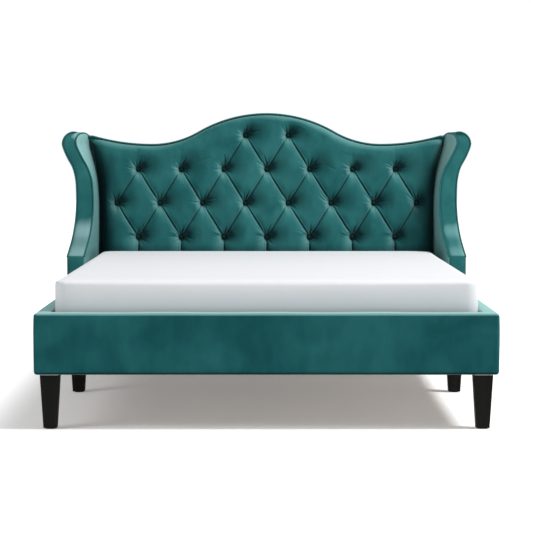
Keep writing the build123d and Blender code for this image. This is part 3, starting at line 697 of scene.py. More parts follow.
# %% A cloth simulation that returns its points
def puffed(points, faces, held, pressure, cap, frames=20):
    """Blow up a skin of cloth, and give back the points with their movement capped."""
    mesh = make_mesh("puffing", points, faces)
    piece = placed("puffing", mesh)
    group = piece.vertex_groups.new(name="held")
    for level in np.unique(held):
        if level > 0:
            group.add([int(index) for index in np.flatnonzero(held == level)], float(level), "REPLACE")
    cloth = piece.modifiers.new("puff", "CLOTH")
    cloth.collision_settings.use_collision = False
    cloth.settings.effector_weights.gravity = 0
    for setting, value in dict(
            vertex_group_mass="held", use_pressure=True, uniform_pressure_force=pressure, quality=6,
            tension_stiffness=20, compression_stiffness=20, bending_stiffness=0.6).items():
        setattr(cloth.settings, setting, value)
    cloth.point_cache.frame_start = 1
    cloth.point_cache.frame_end = frames
    for step in range(1, frames + 1):
        scene.frame_set(step)
    evaluated = piece.evaluated_get(bpy.context.evaluated_depsgraph_get())
    moved = np.zeros(len(points) * 3)
    evaluated.data.vertices.foreach_get("co", moved)
    moved = moved.reshape(-1, 3)
    bpy.data.objects.remove(piece)
    bpy.data.meshes.remove(mesh)
    scene.frame_set(1)
    shift = moved - points
    length = np.linalg.norm(shift, axis=1, keepdims=True)
    print("the cloth moved up to", round(length.max() / MM, 1), "mm, cap", round(cap / MM, 1))
    return points + shift * np.minimum(1, cap / np.maximum(length, 1e-9))


# %% [markdown]
# ## The tufted pad
#
# The pad's front is a sheet of points that fills the outline from wing to wing. Its lines crowd together
# near the edges, where the cover rolls back to the board. Wherever a point lies, its depth comes from the
# folds and buttons above, plus what the cloth simulation adds.

# %% Tufted pad
PAD_STEP = 2.2 * MM
PAD_COARSE = 5
EDGE_ROLL = 30 * MM
SIDE_ROLL = 64 * MM
BORDER_INSET = 6 * MM
FLARE_RADIUS = 1.190
PAD_HALF_LOW = 0.7616
PAD_CAP = 4.0 * MM
PAD_PRESSURE = 5.0
PAD_BACK_GAP = 0.3 * MM
HELD_PIT, HELD_PILLOW = 0.45, 0.8


def flare(z):
    """How far the wings' inner faces have moved out at a height."""
    return sag(FLARE_RADIUS, np.clip(z - FLARE_START, 0, None))


def edge_places(length, step, roll):
    """Places from 0 to a length, evenly spaced but crowded within the roll at both ends."""
    turns = np.linspace(0, pi / 2, 9)
    start = roll * (1 - np.cos(turns))
    middle = np.linspace(roll, length - roll, max(2, round((length - 2 * roll) / step)))
    return np.concatenate([start, middle[1:-1], (length - start)[::-1]])


def pad_sheet(step):
    """The pad's sheet: places x and z of its points."""
    height = CREST - BORDER_INSET - pad_low[2]
    down_share = edge_places(height, step, EDGE_ROLL) / height
    across = edge_places(2 * PAD_HALF_LOW, step, EDGE_ROLL) / PAD_HALF_LOW - 1
    share, side = np.meshgrid(down_share, across, indexing="ij")
    x = side * PAD_HALF_LOW
    for _ in range(4):
        z = mix(pad_low[2], top_line(x) - BORDER_INSET, share)
        x = side * (PAD_HALF_LOW + flare(z))
    return x, z


def roll_depth(x, z):
    """How far the cover has rolled back near the pad's edges."""
    slope = (top_line(x + MM) - top_line(x - MM)) / (2 * MM)
    to_top = (top_line(x) - BORDER_INSET - z) / np.sqrt(1 + slope ** 2)
    to_side = PAD_HALF_LOW + flare(z) - np.abs(x)
    to_foot = z - pad_low[2]
    past = [np.clip(1 - distance / roll, 0, 1) for distance, roll in
            ((to_top, EDGE_ROLL), (to_side, SIDE_ROLL), (to_foot, EDGE_ROLL))]
    past = np.sqrt(past[0] ** 2 + past[1] ** 2 + past[2] ** 2)
    return EDGE_ROLL * sag(1.0, past)


def pad_front(x, z, fine):
    """The pad's front points."""
    roll = roll_depth(x, z)
    cover = cover_depth(x, z, fine) * np.clip(1 - roll / EDGE_ROLL, 0, 1)
    return np.stack([x, pad_low[1] + PAD_CAP / 2 + roll * (1 - PAD_CAP / 2 / EDGE_ROLL) + cover, z], axis=2)


def spread(field, rows, columns):
    """A coarse field of values spread over a finer sheet, between the same borders."""
    places = [np.linspace(0, coarse - 1, fine) for coarse, fine in zip(field.shape, (rows, columns))]
    row, column = [np.minimum(place.astype(int), coarse - 2) for place, coarse in zip(places, field.shape)]
    down, right = (places[0] - row)[:, None, None], (places[1] - column)[None, :, None]
    upper = mix(field[row][:, column], field[row][:, column + 1], right)
    lower = mix(field[row + 1][:, column], field[row + 1][:, column + 1], right)
    return mix(upper, lower, down)


fine_x, fine_z = pad_sheet(PAD_STEP)
rows, columns = fine_x.shape
pad_points = pad_front(fine_x, fine_z, fine=True)
coarse = np.ix_(*[np.round(np.linspace(0, count - 1, count // PAD_COARSE)).astype(int)
                  for count in fine_x.shape])
coarse_x, coarse_z = fine_x[coarse], fine_z[coarse]
rest = pad_front(coarse_x, coarse_z, fine=False)
pulled = cover_depth(coarse_x, coarse_z, fine=False)
held = np.where(pulled > PIT_DEPTH * HELD_PIT, 1.0, 0.0)
held = np.where((pulled > PILLOW_DEPTH * HELD_PILLOW) & (held == 0), 0.5, held)
held[[0, -1], :] = 1.0
held[:, [0, -1]] = 1.0
flat = rest.reshape(-1, 3)
moved = puffed(flat, sheet_faces(*coarse_x.shape), held.ravel(), PAD_PRESSURE, PAD_CAP)
pad_points += spread((moved - flat).reshape(rest.shape), rows, columns)
pad_points[..., 1] = np.maximum(pad_points[..., 1], pad_low[1] - PAD_CAP / 2)
pad_back = pad_points.copy()
pad_back[..., 1] = pad_high[1] - PAD_BACK_GAP
add_piece("tufted_pad_velvet", *skin(pad_points, pad_back), pad_velvet, "tufted_pad", fill=0.8)
print("tufted pad:", rows, "by", columns, "points")

# %% [markdown]
# ## Covered buttons
#
# A covered button is a low dome of cloth drawn round a shell. The gathers at its rim are a ripple that grows
# towards the edge. One turned profile makes it, and all buttons are one piece, as they are one node.

# %% Buttons
BUTTON_SIDES = 36
BUTTON_GATHERS = 12
GATHER_DEPTH = 0.035
DOME_HEIGHT, DOME_BASE = 0.78, 0.28
BACK_SHARE = 0.8
button_low, button_high = corners_of("tuft_buttons")
button_depth = float(button_high[1] - button_low[1])
button_radius = float(buttons[:, 0].min() - button_low[0]) * 0.88


def button_skin():
    """One button's points and faces round its own middle, facing the foot of the bed."""
    rings = np.linspace(0, 1, 9)[1:]
    turns = np.linspace(0, 2 * pi, BUTTON_SIDES, endpoint=False)
    points, faces = [(0, -button_depth / 2, 0)], []
    for ring in rings:
        bulge = (1 - ring ** 2.6) ** 0.5 * DOME_HEIGHT
        for turn in turns:
            reach = button_radius * ring * (1 - GATHER_DEPTH * ring ** 4 * (1 + cos(BUTTON_GATHERS * turn)))
            points.append((reach * cos(turn), -button_depth * (bulge - DOME_BASE), reach * sin(turn)))
    back, reach = len(points), button_radius * BACK_SHARE
    points += [(reach * cos(turn), button_depth / 2, reach * sin(turn)) for turn in turns]
    for side in range(BUTTON_SIDES):
        after = (side + 1) % BUTTON_SIDES
        faces.append((0, 1 + side, 1 + after))
        for ring in range(len(rings)):
            near = 1 + ring * BUTTON_SIDES
            far = near + BUTTON_SIDES
            faces.append((near + side, far + side, far + after, near + after))
    faces.append(tuple(back + side for side in range(BUTTON_SIDES)))
    return np.array(points), faces


one_points, one_faces = button_skin()
all_buttons = joined(*[(one_points + middle, one_faces) for middle in buttons])
add_piece("covered_buttons", *all_buttons, button_velvet, "tuft_buttons", fill=1.0)
print("buttons of radius", round(button_radius / MM, 1), "mm")

# %% [markdown]
# ## Welts
#
# A welt is a cord sewn into a strip of cloth, set in a seam to draw its line. It is a round tube along a
# path. Each ring of the tube is turned from the last by the bend of the path, so the tube never twists.


# %% Tubes along a path
def tube(path, radius, sides=12):
    """A round tube along a path of points, with closed ends: its points and faces."""
    path = np.asarray(path, float)
    ways = unit(np.gradient(path, axis=0))
    side = np.cross(ways[0], (0, 0, 1.0) if abs(ways[0][2]) < 0.9 else (1.0, 0, 0))
    turns = np.linspace(0, 2 * pi, sides, endpoint=False)
    rings = []
    for place, way in zip(path, ways):
        side = unit(side - way * np.dot(side, way))
        other = np.cross(way, side)
        rings.append(place + radius * (np.cos(turns)[:, None] * side + np.sin(turns)[:, None] * other))
    return np.concatenate(rings), ring_faces(len(path), sides)


welt_low, welt_high = corners_of("headboard_welt")
welt_y = float(welt_low[1] + welt_high[1]) / 2
welt_radius = float(welt_high[2]) - CREST
welt_x = np.linspace(-SHOULDER_OFFSET, SHOULDER_OFFSET, 321)
WELT_DIVE, WELT_DIVE_RUN = 14 * MM, 24 * MM
dive = np.clip((np.abs(welt_x) - SHOULDER_OFFSET + WELT_DIVE_RUN) / WELT_DIVE_RUN, 0, 1) ** 2 * WELT_DIVE
welt_path = np.stack([welt_x, np.full_like(welt_x, welt_y), top_line(welt_x) - dive], axis=1)
add_piece("headboard_top_welt", *tube(welt_path, welt_radius), welt_velvet, "headboard_welt", "velvet_welt")
print("welt of", round(2 * welt_radius / MM, 1), "mm along the top")

# %% [markdown]
# ## The border and the back
#
# A band of the same velvet closes the headboard's edge, from the welt to the back cover, and runs down both
# sides behind the wings. It is swept along the outline with a thin crowned section. The back cover is a flat
# panel, drawn tight, that dips a little between its tacked edges.

# %% Border band
BORDER_THICKNESS = 5.6 * MM
BORDER_CROWN = 1.4 * MM
SECTION_POINTS = 9
SIDE_POINTS = 24
border_low, border_high = corners_of("headboard_border")
band_back = float(border_high[1])
band_front_top = float(border_low[1])
band_front_side = float(pad_high[1])


def outline_path():
    """The headboard's outline from the right foot over the top to the left foot, and the way it runs."""
    corner_x = HALF_WIDTH - 1.2 * MM * np.arange(1, 41)
    right_x = np.concatenate([np.full(SIDE_POINTS, HALF_WIDTH), corner_x])
    side_z = np.linspace(border_low[2], top_line(HALF_WIDTH), SIDE_POINTS)
    right_z = np.concatenate([side_z, top_line(corner_x)])
    middle_x = np.linspace(right_x[-1], -right_x[-1], 281)[1:-1]
    x = np.concatenate([right_x, middle_x, -right_x[::-1]])
    z = np.concatenate([right_z, top_line(middle_x), right_z[::-1]])
    return x, z, unit(np.gradient(np.stack([x, z], axis=1), axis=0))


def border_skin():
    """The band's points and faces: rings of a thin section along the outline."""
    x, z, way = outline_path()
    inward = np.stack([-way[:, 1], way[:, 0]], axis=1)
    front = np.where(np.abs(x) < SHOULDER_OFFSET + 2 * MM, band_front_top, band_front_side)
    shares = np.linspace(0, 1, SECTION_POINTS)
    section = [(share, BORDER_CROWN * (2 * share - 1) ** 6) for share in shares]
    section += [(share, BORDER_THICKNESS) for share in shares[::-1]]
    points = [(at_x + in_x * depth, mix(start, band_back, share), at_z + in_z * depth)
              for at_x, at_z, (in_x, in_z), start in zip(x, z, inward, front) for share, depth in section]
    return points, ring_faces(len(x), len(section))


add_piece("headboard_border_velvet", *border_skin(), panel_velvet, "headboard_border", sharp=50)
print("border from", round(band_front_top, 4), "to", round(band_back, 4))

# %% Back cover
BACK_STEP = 12 * MM
BACK_ROLL = 4 * MM
BACK_DIP = 1.2 * MM
TACK_PITCH = 50 * MM
TACK_DEPTH = 0.5 * MM


def back_skin():
    """The back cover's points and faces."""
    height = float(back_high[2] - back_low[2])
    share = edge_places(height, BACK_STEP, BACK_ROLL) / height
    across = edge_places(2 * HALF_WIDTH, BACK_STEP, BACK_ROLL) - HALF_WIDTH
    share, x = np.meshgrid(share, across, indexing="ij")
    z = mix(back_low[2], top_line(x), share)
    to_edge = np.minimum.reduce([HALF_WIDTH - np.abs(x), z - back_low[2], top_line(x) - z])
    rolled = sag(BACK_ROLL, np.clip(BACK_ROLL - to_edge, 0, BACK_ROLL)) * 0.8
    tacks = TACK_DEPTH * np.cos(2 * pi * x / TACK_PITCH) * np.exp(-to_edge / 0.02)
    slack = BACK_DIP * (1 - np.exp(-to_edge / 0.03)) * (0.5 + 0.5 * np.sin(9 * x + 4 * z) * np.sin(5 * z))
    y = back_high[1] - rolled - np.clip(slack + tacks, 0, None)
    rear = np.stack([x, y, z], axis=2)
    front = np.stack([x, np.full_like(x, back_low[1]), z], axis=2)
    points, faces = skin(rear, front)
    return points, faces[:, ::-1]


add_piece("headboard_back_velvet", *back_skin(), panel_velvet, "headboard_back_cover")
print("back cover", round(2 * HALF_WIDTH, 3), "m wide")

# %% [markdown]
# ## The wings' edges
#
# Four lines run up each wing: the inner and outer edge of its front, and the inner and outer line where it
# meets the headboard. Heights, reach and flare come from one table of levels. At the top the inner edge turns
# back over a round corner, the outer one goes over the horn, and they meet at the headboard's shoulder.

# %% Levels of the wings
ARM_HEIGHT = 0.506
LOFT_TOP = 1.066
REACH_ARM, REACH_TOP = 0.298, 0.128
INNER_WAIST, OUTER_WAIST = 0.777, 0.853
ARM_SPLAY, INNER_FLARE, OUTER_FLARE = 0.030, 0.085, 0.065
INNER_REAR = 0.762
HORN_RADIUS, HORN_TOP = 0.054, 1.060
RAIL_TOP = 0.4108
RAIL_OUTER = 0.8138
BOX_FOOT = 0.194
BOARD_GAP = 0.4 * MM
STEP_GAP, ARM_GAP = 0.4 * MM, 1.5 * MM
BOX_LEVELS, ARM_LEVELS, LOFT_LEVELS, TOP_LEVELS = 14, 7, 90, 32
LEVEL_SHARES = (0, 0.06, 0.15, 0.26, 0.38, 0.51, 0.61, 0.70, 0.79, 0.88, 1)
REACH_SHARES = (1, 0.844, 0.647, 0.375, 0.212, 0.147, 0.106, 0.065, 0.032, 0.006, 0)
ARM_SHARES = (1, 0.72, 0.35, 0.12, 0, 0, 0, 0, 0, 0, 0)
INNER_FLARE_SHARES = (0, 0, 0, 0, 0, 0.024, 0.098, 0.306, 0.635, 0.912, 1)
OUTER_FLARE_SHARES = (0, 0, 0, 0, 0, 0.003, 0.07, 0.27, 0.685, 0.99, 1)
board_y = float(pad_high[1])


def through(shares, share):
    """A smooth value through a table of levels, by a cubic between each two of them."""
    places, values = np.array(LEVEL_SHARES), np.array(shares, float)
    slopes = np.gradient(values, places)
    index = np.clip(np.searchsorted(places, share, side="right") - 1, 0, len(places) - 2)
    width = places[index + 1] - places[index]
    at = (share - places[index]) / width
    return ((1 + 2 * at) * (1 - at) ** 2 * values[index] + at * (1 - at) ** 2 * width * slopes[index]
            + at ** 2 * (3 - 2 * at) * values[index + 1] + at ** 2 * (at - 1) * width * slopes[index + 1])


def wing_lines(z):
    """At heights z: the front's place along the bed, and its inner and outer places across."""
    share = np.clip((z - ARM_HEIGHT) / (LOFT_TOP - ARM_HEIGHT), 0, 1)
    front = board_y - mix(REACH_TOP, REACH_ARM, through(REACH_SHARES, share))
    splay = ARM_SPLAY * through(ARM_SHARES, share)
    inner = INNER_WAIST + splay + INNER_FLARE * through(INNER_FLARE_SHARES, share)
    outer = OUTER_WAIST + splay + OUTER_FLARE * through(OUTER_FLARE_SHARES, share)
    return front, np.where(z < RAIL_TOP, RAIL_OUTER, inner), outer


def rear_inner(z):
    """Where the wing's inner face meets the headboard."""
    return np.where(z < RAIL_TOP, RAIL_OUTER, INNER_REAR + flare(z))


CORNER_BACK = 75 * MM
CORNER_DIP = 3 * MM
HORN_TURN = 100
HORN_BACK = 12 * MM
TURNED_SHARE = 0.8
INNER_JOIN, OUTER_JOIN = 0.35, 0.4
horn_middle = np.array([OUTER_WAIST + OUTER_FLARE - HORN_RADIUS, HORN_TOP - HORN_RADIUS])
turn_height = float(horn_middle[1])
box_z = np.linspace(BOX_FOOT, RAIL_TOP - STEP_GAP, BOX_LEVELS)
low_z = np.concatenate([box_z, np.linspace(RAIL_TOP, ARM_HEIGHT, ARM_LEVELS)[:-1]])
loft_z = np.linspace(ARM_HEIGHT, turn_height, LOFT_LEVELS)
over = np.linspace(0, 1, TOP_LEVELS + 1)[1:]
stem_z = np.concatenate([low_z, [ARM_HEIGHT - ARM_GAP], loft_z])
stem_front, stem_inner, stem_outer = wing_lines(stem_z)
top_front = float(wing_lines(np.array(turn_height))[0])
shoulder = np.array([SHOULDER_OFFSET, board_y, SHOULDER])
meet_inner = shoulder + np.array([4, -22, 1.5]) * MM
meet_outer = shoulder + np.array([12, -0.4, 6.5]) * MM


def eased(share):
    """A share that starts and ends gently."""
    share = min(max(share, 0), 1)
    return share * share * (3 - 2 * share)


def over_inner(share):
    """The inner edge over the top: a round corner back, then along the top to the shoulder."""
    angle = sin(pi / 2 * min(share / TURNED_SHARE, 1)) * pi / 2
    y = top_front + CORNER_BACK * (1 - cos(angle))
    z = mix(turn_height, HORN_TOP - CORNER_DIP, sin(angle))
    back = (y - top_front) / (board_y - top_front)
    place = np.array([mix(float(wing_lines(np.array(z))[1]), float(rear_inner(z)), back), y, z])
    return mix(place, meet_inner, eased((share - INNER_JOIN) / (1 - INNER_JOIN)))


def over_outer(share):
    """The outer edge over the top: round the horn, then along the top to the shoulder."""
    angle = radians(HORN_TURN) * sin(pi / 2 * min(share / TURNED_SHARE, 1))
    place = np.array([horn_middle[0] + HORN_RADIUS * cos(angle), top_front + HORN_BACK * (1 - cos(angle)),
                      horn_middle[1] + HORN_RADIUS * sin(angle)])
    return mix(place, meet_outer, eased((share - OUTER_JOIN) / (1 - OUTER_JOIN)))


def over_rear(share, start_x, end, squareness=1.0):
    """A line on the headboard, from the side round to the shoulder."""
    angle = share * pi / 2
    return np.array([mix(end[0], start_x, max(cos(angle), 0) ** squareness),
                     mix(board_y - BOARD_GAP, end[1], share ** 4),
                     mix(turn_height, end[2], sin(angle) ** squareness)])


def wing_edge(stem_x, stem_y, over_top):
    """One line up the wing: its stem, then its way over the top, which takes a share from 0 to 1."""
    stem = np.stack([stem_x + 0 * stem_z, stem_y + 0 * stem_z, stem_z], axis=1)
    return np.concatenate([stem, [over_top(share) for share in over]])


rear_start = float(rear_inner(turn_height))
inner_edge = wing_edge(stem_inner, stem_front, over_inner)
outer_edge = wing_edge(stem_outer, stem_front, over_outer)
inner_back = wing_edge(rear_inner(stem_z), board_y - BOARD_GAP,
                       lambda share: over_rear(share, rear_start, meet_inner))
outer_back = wing_edge(HALF_WIDTH, board_y - BOARD_GAP,
                       lambda share: over_rear(share, HALF_WIDTH, meet_outer, squareness=0.5))
print("stations up a wing:", len(inner_edge))

# %% [markdown]
# ## The wings' panels
#
# Each wing shows three panels of velvet over thin padding: the facing at the front, the inner face and the
# outer side. A panel is a sheet between two of the four lines, crowned in its middle and drawn down at its
# seams. A back sheet lies a padding's depth behind it and comes close at the seams and at the shoulder. The
# outer side is lifted where the timber core would come through, and a small cap closes the wing at the rear.

# %% Panels between two edges
PANEL_COLUMNS = 25
SIDE_POWER, END_POWER = 5, 40
PANEL_GAP = 1.2 * MM
THIN_STATIONS = 14
SHORT_SPAN = 8 * MM
SEAM_DEPTH = 0.7 * MM


def panel(one_edge, other_edge, inward, thickness, crown):
    """A padded panel between two edges. Inward gives, for each station, the way into the wing."""
    across = (1 - np.cos(np.linspace(0, pi, PANEL_COLUMNS))) / 2
    flat = mix(one_edge[:, None, :], other_edge[:, None, :], across[None, :, None])
    rows = len(one_edge)
    along = np.linspace(-1, 1, rows)
    full = (1 - np.abs(2 * across - 1) ** SIDE_POWER) * (1 - np.abs(along) ** END_POWER)[:, None]
    lift = crown * full - PANEL_GAP
    front = flat - inward[:, None, :] * lift[:, :, None]
    thin = np.clip((rows - 1 - np.arange(rows)) / THIN_STATIONS, 0, 1)
    deep = np.maximum(thickness * full * thin[:, None], PANEL_GAP + SEAM_DEPTH)
    back = flat + inward[:, None, :] * deep[:, :, None]
    return skin(front, back)


wing_middle = np.mean([inner_edge, outer_edge, inner_back, outer_back], axis=0)


def inward_of(one_edge, other_edge):
    """For each station, the way across the panel's plane that points into the wing."""
    middle = (one_edge + other_edge) / 2
    across = other_edge - one_edge
    short = np.linalg.norm(across, axis=1) < SHORT_SPAN
    normal = unit(np.cross(np.gradient(middle, axis=0), across + 1e-9))
    if np.sum(normal * (wing_middle - middle)) < 0:
        normal = -normal
    normal[short] = normal[~short][-1]
    return normal


facing_in = inward_of(inner_edge, outer_edge)
inner_in = inward_of(inner_edge, inner_back)
outer_in = inward_of(outer_edge, outer_back)
print("ways into the wing at its foot:", *[way[0].round(2) for way in (facing_in, inner_in, outer_in)])

# %% Clear of the core, closed at the rear
CORE_CLEARANCE = 2.4 * MM
SEAM_STEPS = 4
core_mesh = nodes["wing_core_right"].data
core_tree = BVHTree.FromPolygons([vertex.co for vertex in core_mesh.vertices],
                                 [polygon.vertices for polygon in core_mesh.polygons])


def over_core(points, faces):
    """The same skin with its front lifted off the timber core where it would sink in over the wing's top."""
    lifted = 0
    per_row = len(points) // 2 // len(outer_edge)
    for index in range(len(stem_z) * per_row, len(points) // 2):
        row, column = divmod(index, per_row)
        from_seam = min(column, per_row - 1 - column, row - len(stem_z) + 1)
        weight = min(from_seam / SEAM_STEPS, 1)
        place = Vector(points[index])
        nearest, normal, _, distance = core_tree.find_nearest(place)
        clear = distance if (place - nearest).dot(normal) > 0 else -distance
        if clear < CORE_CLEARANCE:
            points[index] = place + normal * (CORE_CLEARANCE - clear) * weight
            lifted += 1
    print("points lifted off the core:", lifted)
    return points, faces


CAP_FOOT = (0.985, 1.035)
CAP_INSET = 2 * MM
CAP_THICKNESS = (4 * MM, 24 * MM)


def rear_cap():
    """The small closing panel at the wing's rear, above the headboard's corner."""
    upper = np.concatenate([outer_back[-len(over) - 1:], [[SHOULDER_OFFSET, board_y, meet_inner[2]]]])
    start = np.array([HALF_WIDTH - CAP_INSET, board_y, CAP_FOOT[0]])
    end = np.array([SHOULDER_OFFSET, board_y, CAP_FOOT[1]])
    lower = mix(start, end, np.linspace(0, 1, len(upper))[:, None])
    rear = mix(lower[:, None, :], upper[:, None, :], np.linspace(0, 1, 5)[None, :, None])
    rear[..., 1] = board_y + CORE_CLEARANCE
    return skin(rear, rear - np.linspace(*CAP_THICKNESS, len(upper))[:, None, None] * np.array([0, 1, 0]))


TUCK_WIDTH = 12 * MM
TUCK_DEPTH = 0.8 * MM
TUCK_END = 14
TUCK_OVERLAP = 2 * MM


def tucked_edge():
    """The inner cover's edge, tacked flat on the board behind the side of the pad."""
    start = inner_back[len(low_z) + 1:-TUCK_END] + np.array([TUCK_OVERLAP, -TUCK_DEPTH, 0])
    front = start[:, None, :] - np.linspace(0, TUCK_WIDTH, 4)[None, :, None] * np.array([1, 0, 0])
    return skin(front, front + np.array([0, TUCK_DEPTH, 0]))


print("faces of the timber core:", len(core_mesh.polygons))

# %% Facing, inner face and outer side
FACING_PADDING = {"thickness": 9 * MM, "crown": 4 * MM}
INNER_PADDING = {"thickness": 11 * MM, "crown": 4 * MM}
OUTER_PADDING = {"thickness": 8 * MM, "crown": 3 * MM}
facing = panel(inner_edge, outer_edge, facing_in, **FACING_PADDING)
inner_face = joined(panel(inner_back, inner_edge, inner_in, **INNER_PADDING), tucked_edge())
outer_side = joined(over_core(*panel(outer_edge, outer_back, outer_in, **OUTER_PADDING)), rear_cap())
wing_panels = {
    "wing_facing": ("wing_facing_velvet", facing, (right_facing_painted_dim, left_facing_painted_lit)),
    "wing_inner_pad": ("wing_inner_face_velvet", inner_face, (tongue_velvet, tongue_velvet)),
    "wing_outer_cover": ("wing_outer_side_velvet", outer_side, (panel_velvet, panel_velvet)),
}
for node, (name, panel_skin, finishes) in wing_panels.items():
    add_on_both_sides(name, *panel_skin, finishes, node, sharp=60, fill=0.9)
print("wing panels:", len(wing_panels) * 2)

# %% Wing welts
INNER_WELT_SIZE, OUTER_WELT_SIZE = 0.85, 0.7
WELT_LIFT = 1.5 * MM
INNER_DIVE = 7 * MM
OUTER_SINK = 11 * MM
OUTER_WELT_SHARE = 0.72
arm_from = len(low_z) + 1


def welt_of_wing():
    """The inner and the outer welt of the right wing in one skin. Both run out of sight at their ends."""
    inner = inner_edge[arm_from:] - facing_in[arm_from:] * WELT_LIFT
    inner[:, 2] -= np.clip((np.arange(len(inner)) - len(inner) + 9) / 8, 0, 1) ** 2 * INNER_DIVE
    stop = len(stem_z) + round(OUTER_WELT_SHARE * len(over))
    sunk = np.clip((np.arange(arm_from, stop) - stop + 10) / 10, 0, 1)[:, None] ** 1.5 * OUTER_SINK
    outer = outer_edge[arm_from:stop] + facing_in[arm_from:stop] * (sunk - WELT_LIFT)
    return joined(tube(inner, welt_radius * INNER_WELT_SIZE), tube(outer, welt_radius * OUTER_WELT_SIZE))


add_on_both_sides("wing_edge_welts", *welt_of_wing(), (welt_velvet, welt_velvet), "wing_welts",
                  slot="velvet_welt")
print("stations along a wing's inner welt:", len(inner_edge) - arm_from)

# %% [markdown]
# ## Padded rails
#
# The side rails and the footboard are planks wrapped in thin padding and velvet, open below. Each cover is a
# block of cells with the plank's cells left out, so its skin is closed, hollow where the plank lies and
# rounded outside. A slow wave in the padding keeps long faces from looking machined.


# %% Blocks of cells with a rounded skin
def cell_skin(lines, empty_low=0, empty_high=0):
    """The skin of a block of cells, without those whose middle lies in the empty box."""
    middles = np.stack(np.meshgrid(*[(line[1:] + line[:-1]) / 2 for line in lines], indexing="ij"), axis=3)
    filled = ~np.all((middles > empty_low) & (middles < empty_high), axis=3)
    grid = np.stack(np.meshgrid(*lines, indexing="ij"), axis=3)
    index = np.arange(grid.size // 3).reshape(grid.shape[:3])
    faces = []
    for axis in range(3):
        padded = np.pad(filled, [(int(other == axis),) * 2 for other in range(3)])
        steps = np.diff(padded.astype(int), axis=axis)
        one, two = np.delete(np.eye(3, dtype=int), axis, axis=0)
        for way in (1, -1):
            cell = np.argwhere(steps == way)
            corners = [index[tuple((cell + shift).T)] for shift in (0 * one, one, one + two, two)]
            turned = (way == -1) != (axis == 1)
            faces.append(np.stack(corners if turned else corners[::-1], axis=1))
    used, faces = np.unique(np.concatenate(faces), return_inverse=True)
    return grid.reshape(-1, 3)[used], faces.reshape(-1, 4)


def rounded(points, low, high, radius):
    """The points of a block's skin moved so that its edges and corners are round."""
    core = np.clip(points, low + radius, high - radius)
    away = points - core
    length = np.linalg.norm(away, axis=1, keepdims=True)
    reach = np.abs(away).max(axis=1, keepdims=True)
    return core + away * np.where(length > 0, reach / np.maximum(length, 1e-9), 0)


WALL_GAP = 1.5 * MM


def cell_lines(low, high, radius, step, extra=()):
    """Places of cell walls along one axis: close together in the rounding, and at any extra place."""
    turns = radius * (1 - np.tan(np.linspace(pi / 4, 0, 6)))
    count = max(2, round((high - low - 2 * radius) / step) + 1)
    places = np.concatenate([low + turns, np.linspace(low + radius, high - radius, count), high - turns])
    for value in extra:
        places = places[np.abs(places - value) > WALL_GAP]
    return np.unique(np.round(np.concatenate([places, list(extra)]), 6))


print("cell walls in a block of 100 mm:", len(cell_lines(0, 100 * MM, 10 * MM, 20 * MM)))

# %% Padded rails
COVER_RADIUS = 11 * MM
PLANK_GAP = 0.4 * MM
LEAST_WALL = 4 * MM
SKIN_DEPTH = 0.5 * MM
WAVES, WAVE_STARTS = (17, 23), (1.3, 0.4)
WAVE_LIFT, WAVE_HEIGHT = 1.2 * MM, 0.8 * MM
FOOTBOARD_STEPS, SIDE_RAIL_STEPS = (0.02, 0.02, 0.02), (0.02, 0.03, 0.02)


def padded_rail(plank, side, step):
    """The padded cover of one plank. The side is the end of its names."""
    node = f"{plank}_cover{side}"
    low, high = corners_of(node)
    core_low, core_high = corners_of(f"{plank}_core{side}")
    empty_low, empty_high = core_low - PLANK_GAP, core_high + PLANK_GAP
    empty_low[2] = low[2] - 1
    walls = []
    for axis in range(3):
        inner = [value for value in (empty_low[axis], empty_high[axis])
                 if low[axis] + LEAST_WALL < value < high[axis] - LEAST_WALL]
        walls.append(cell_lines(low[axis], high[axis], COVER_RADIUS, step[axis], inner))
    points, faces = cell_skin(walls, empty_low, empty_high)
    soft = rounded(points, low, high, COVER_RADIUS)
    outside = np.min(np.minimum(points - low, high - points), axis=1) < SKIN_DEPTH
    middle = (low + high) / 2
    lean = np.clip(np.abs(points - middle) / ((high - low) / 2), 0, 1)
    for axis in range(3):
        others = [other for other in range(3) if other != axis]
        upper = points[:, axis] > middle[axis]
        on_face = np.abs(points[:, axis] - np.where(upper, high[axis], low[axis])) < 1e-5
        full = np.prod(1 - lean[:, others] ** 6, axis=1)
        wave = np.prod(np.sin(points[:, others] * WAVES + WAVE_STARTS), axis=1)
        lift = (WAVE_LIFT + WAVE_HEIGHT * wave) * full * (on_face & outside)
        soft[:, axis] += np.where(upper, lift, 0 if axis == 2 else -lift)
    add_piece(f"{plank}_velvet{side}", soft, faces, rail_velvet, node, sharp=50, fill=0.95)
    print(node, "has", len(points), "points")


padded_rail("footboard", "", FOOTBOARD_STEPS)
padded_rail("side_rail", "_right", SIDE_RAIL_STEPS)
padded_rail("side_rail", "_left", SIDE_RAIL_STEPS)

# %% [markdown]
# ## The mattress
#
# The mattress is a foam block in a knitted cover. It starts as a rounded block a little smaller than its
# space and is blown up by the cloth simulation, which rounds its faces the way foam fills a cover. It lies
# in its own body, because it lifts off the slats.

# %% Mattress and its foam core
MATTRESS_CAP = 2.0 * MM
MATTRESS_PRESSURE = 0.05
MATTRESS_CORNER, MATTRESS_EDGE, MATTRESS_STEP = 45 * MM, 15 * MM, 28 * MM
FOAM_CORNER, FOAM_EDGE, FOAM_STEP = 46 * MM, 18 * MM, 60 * MM
HELD_HEIGHT = 6 * MM
SPARE_BELOW, SPARE_ABOVE = 1 * MM, 2 * MM
mattress_low, mattress_high = corners_of("mattress_cover")
core_low, core_high = corners_of("mattress_core")


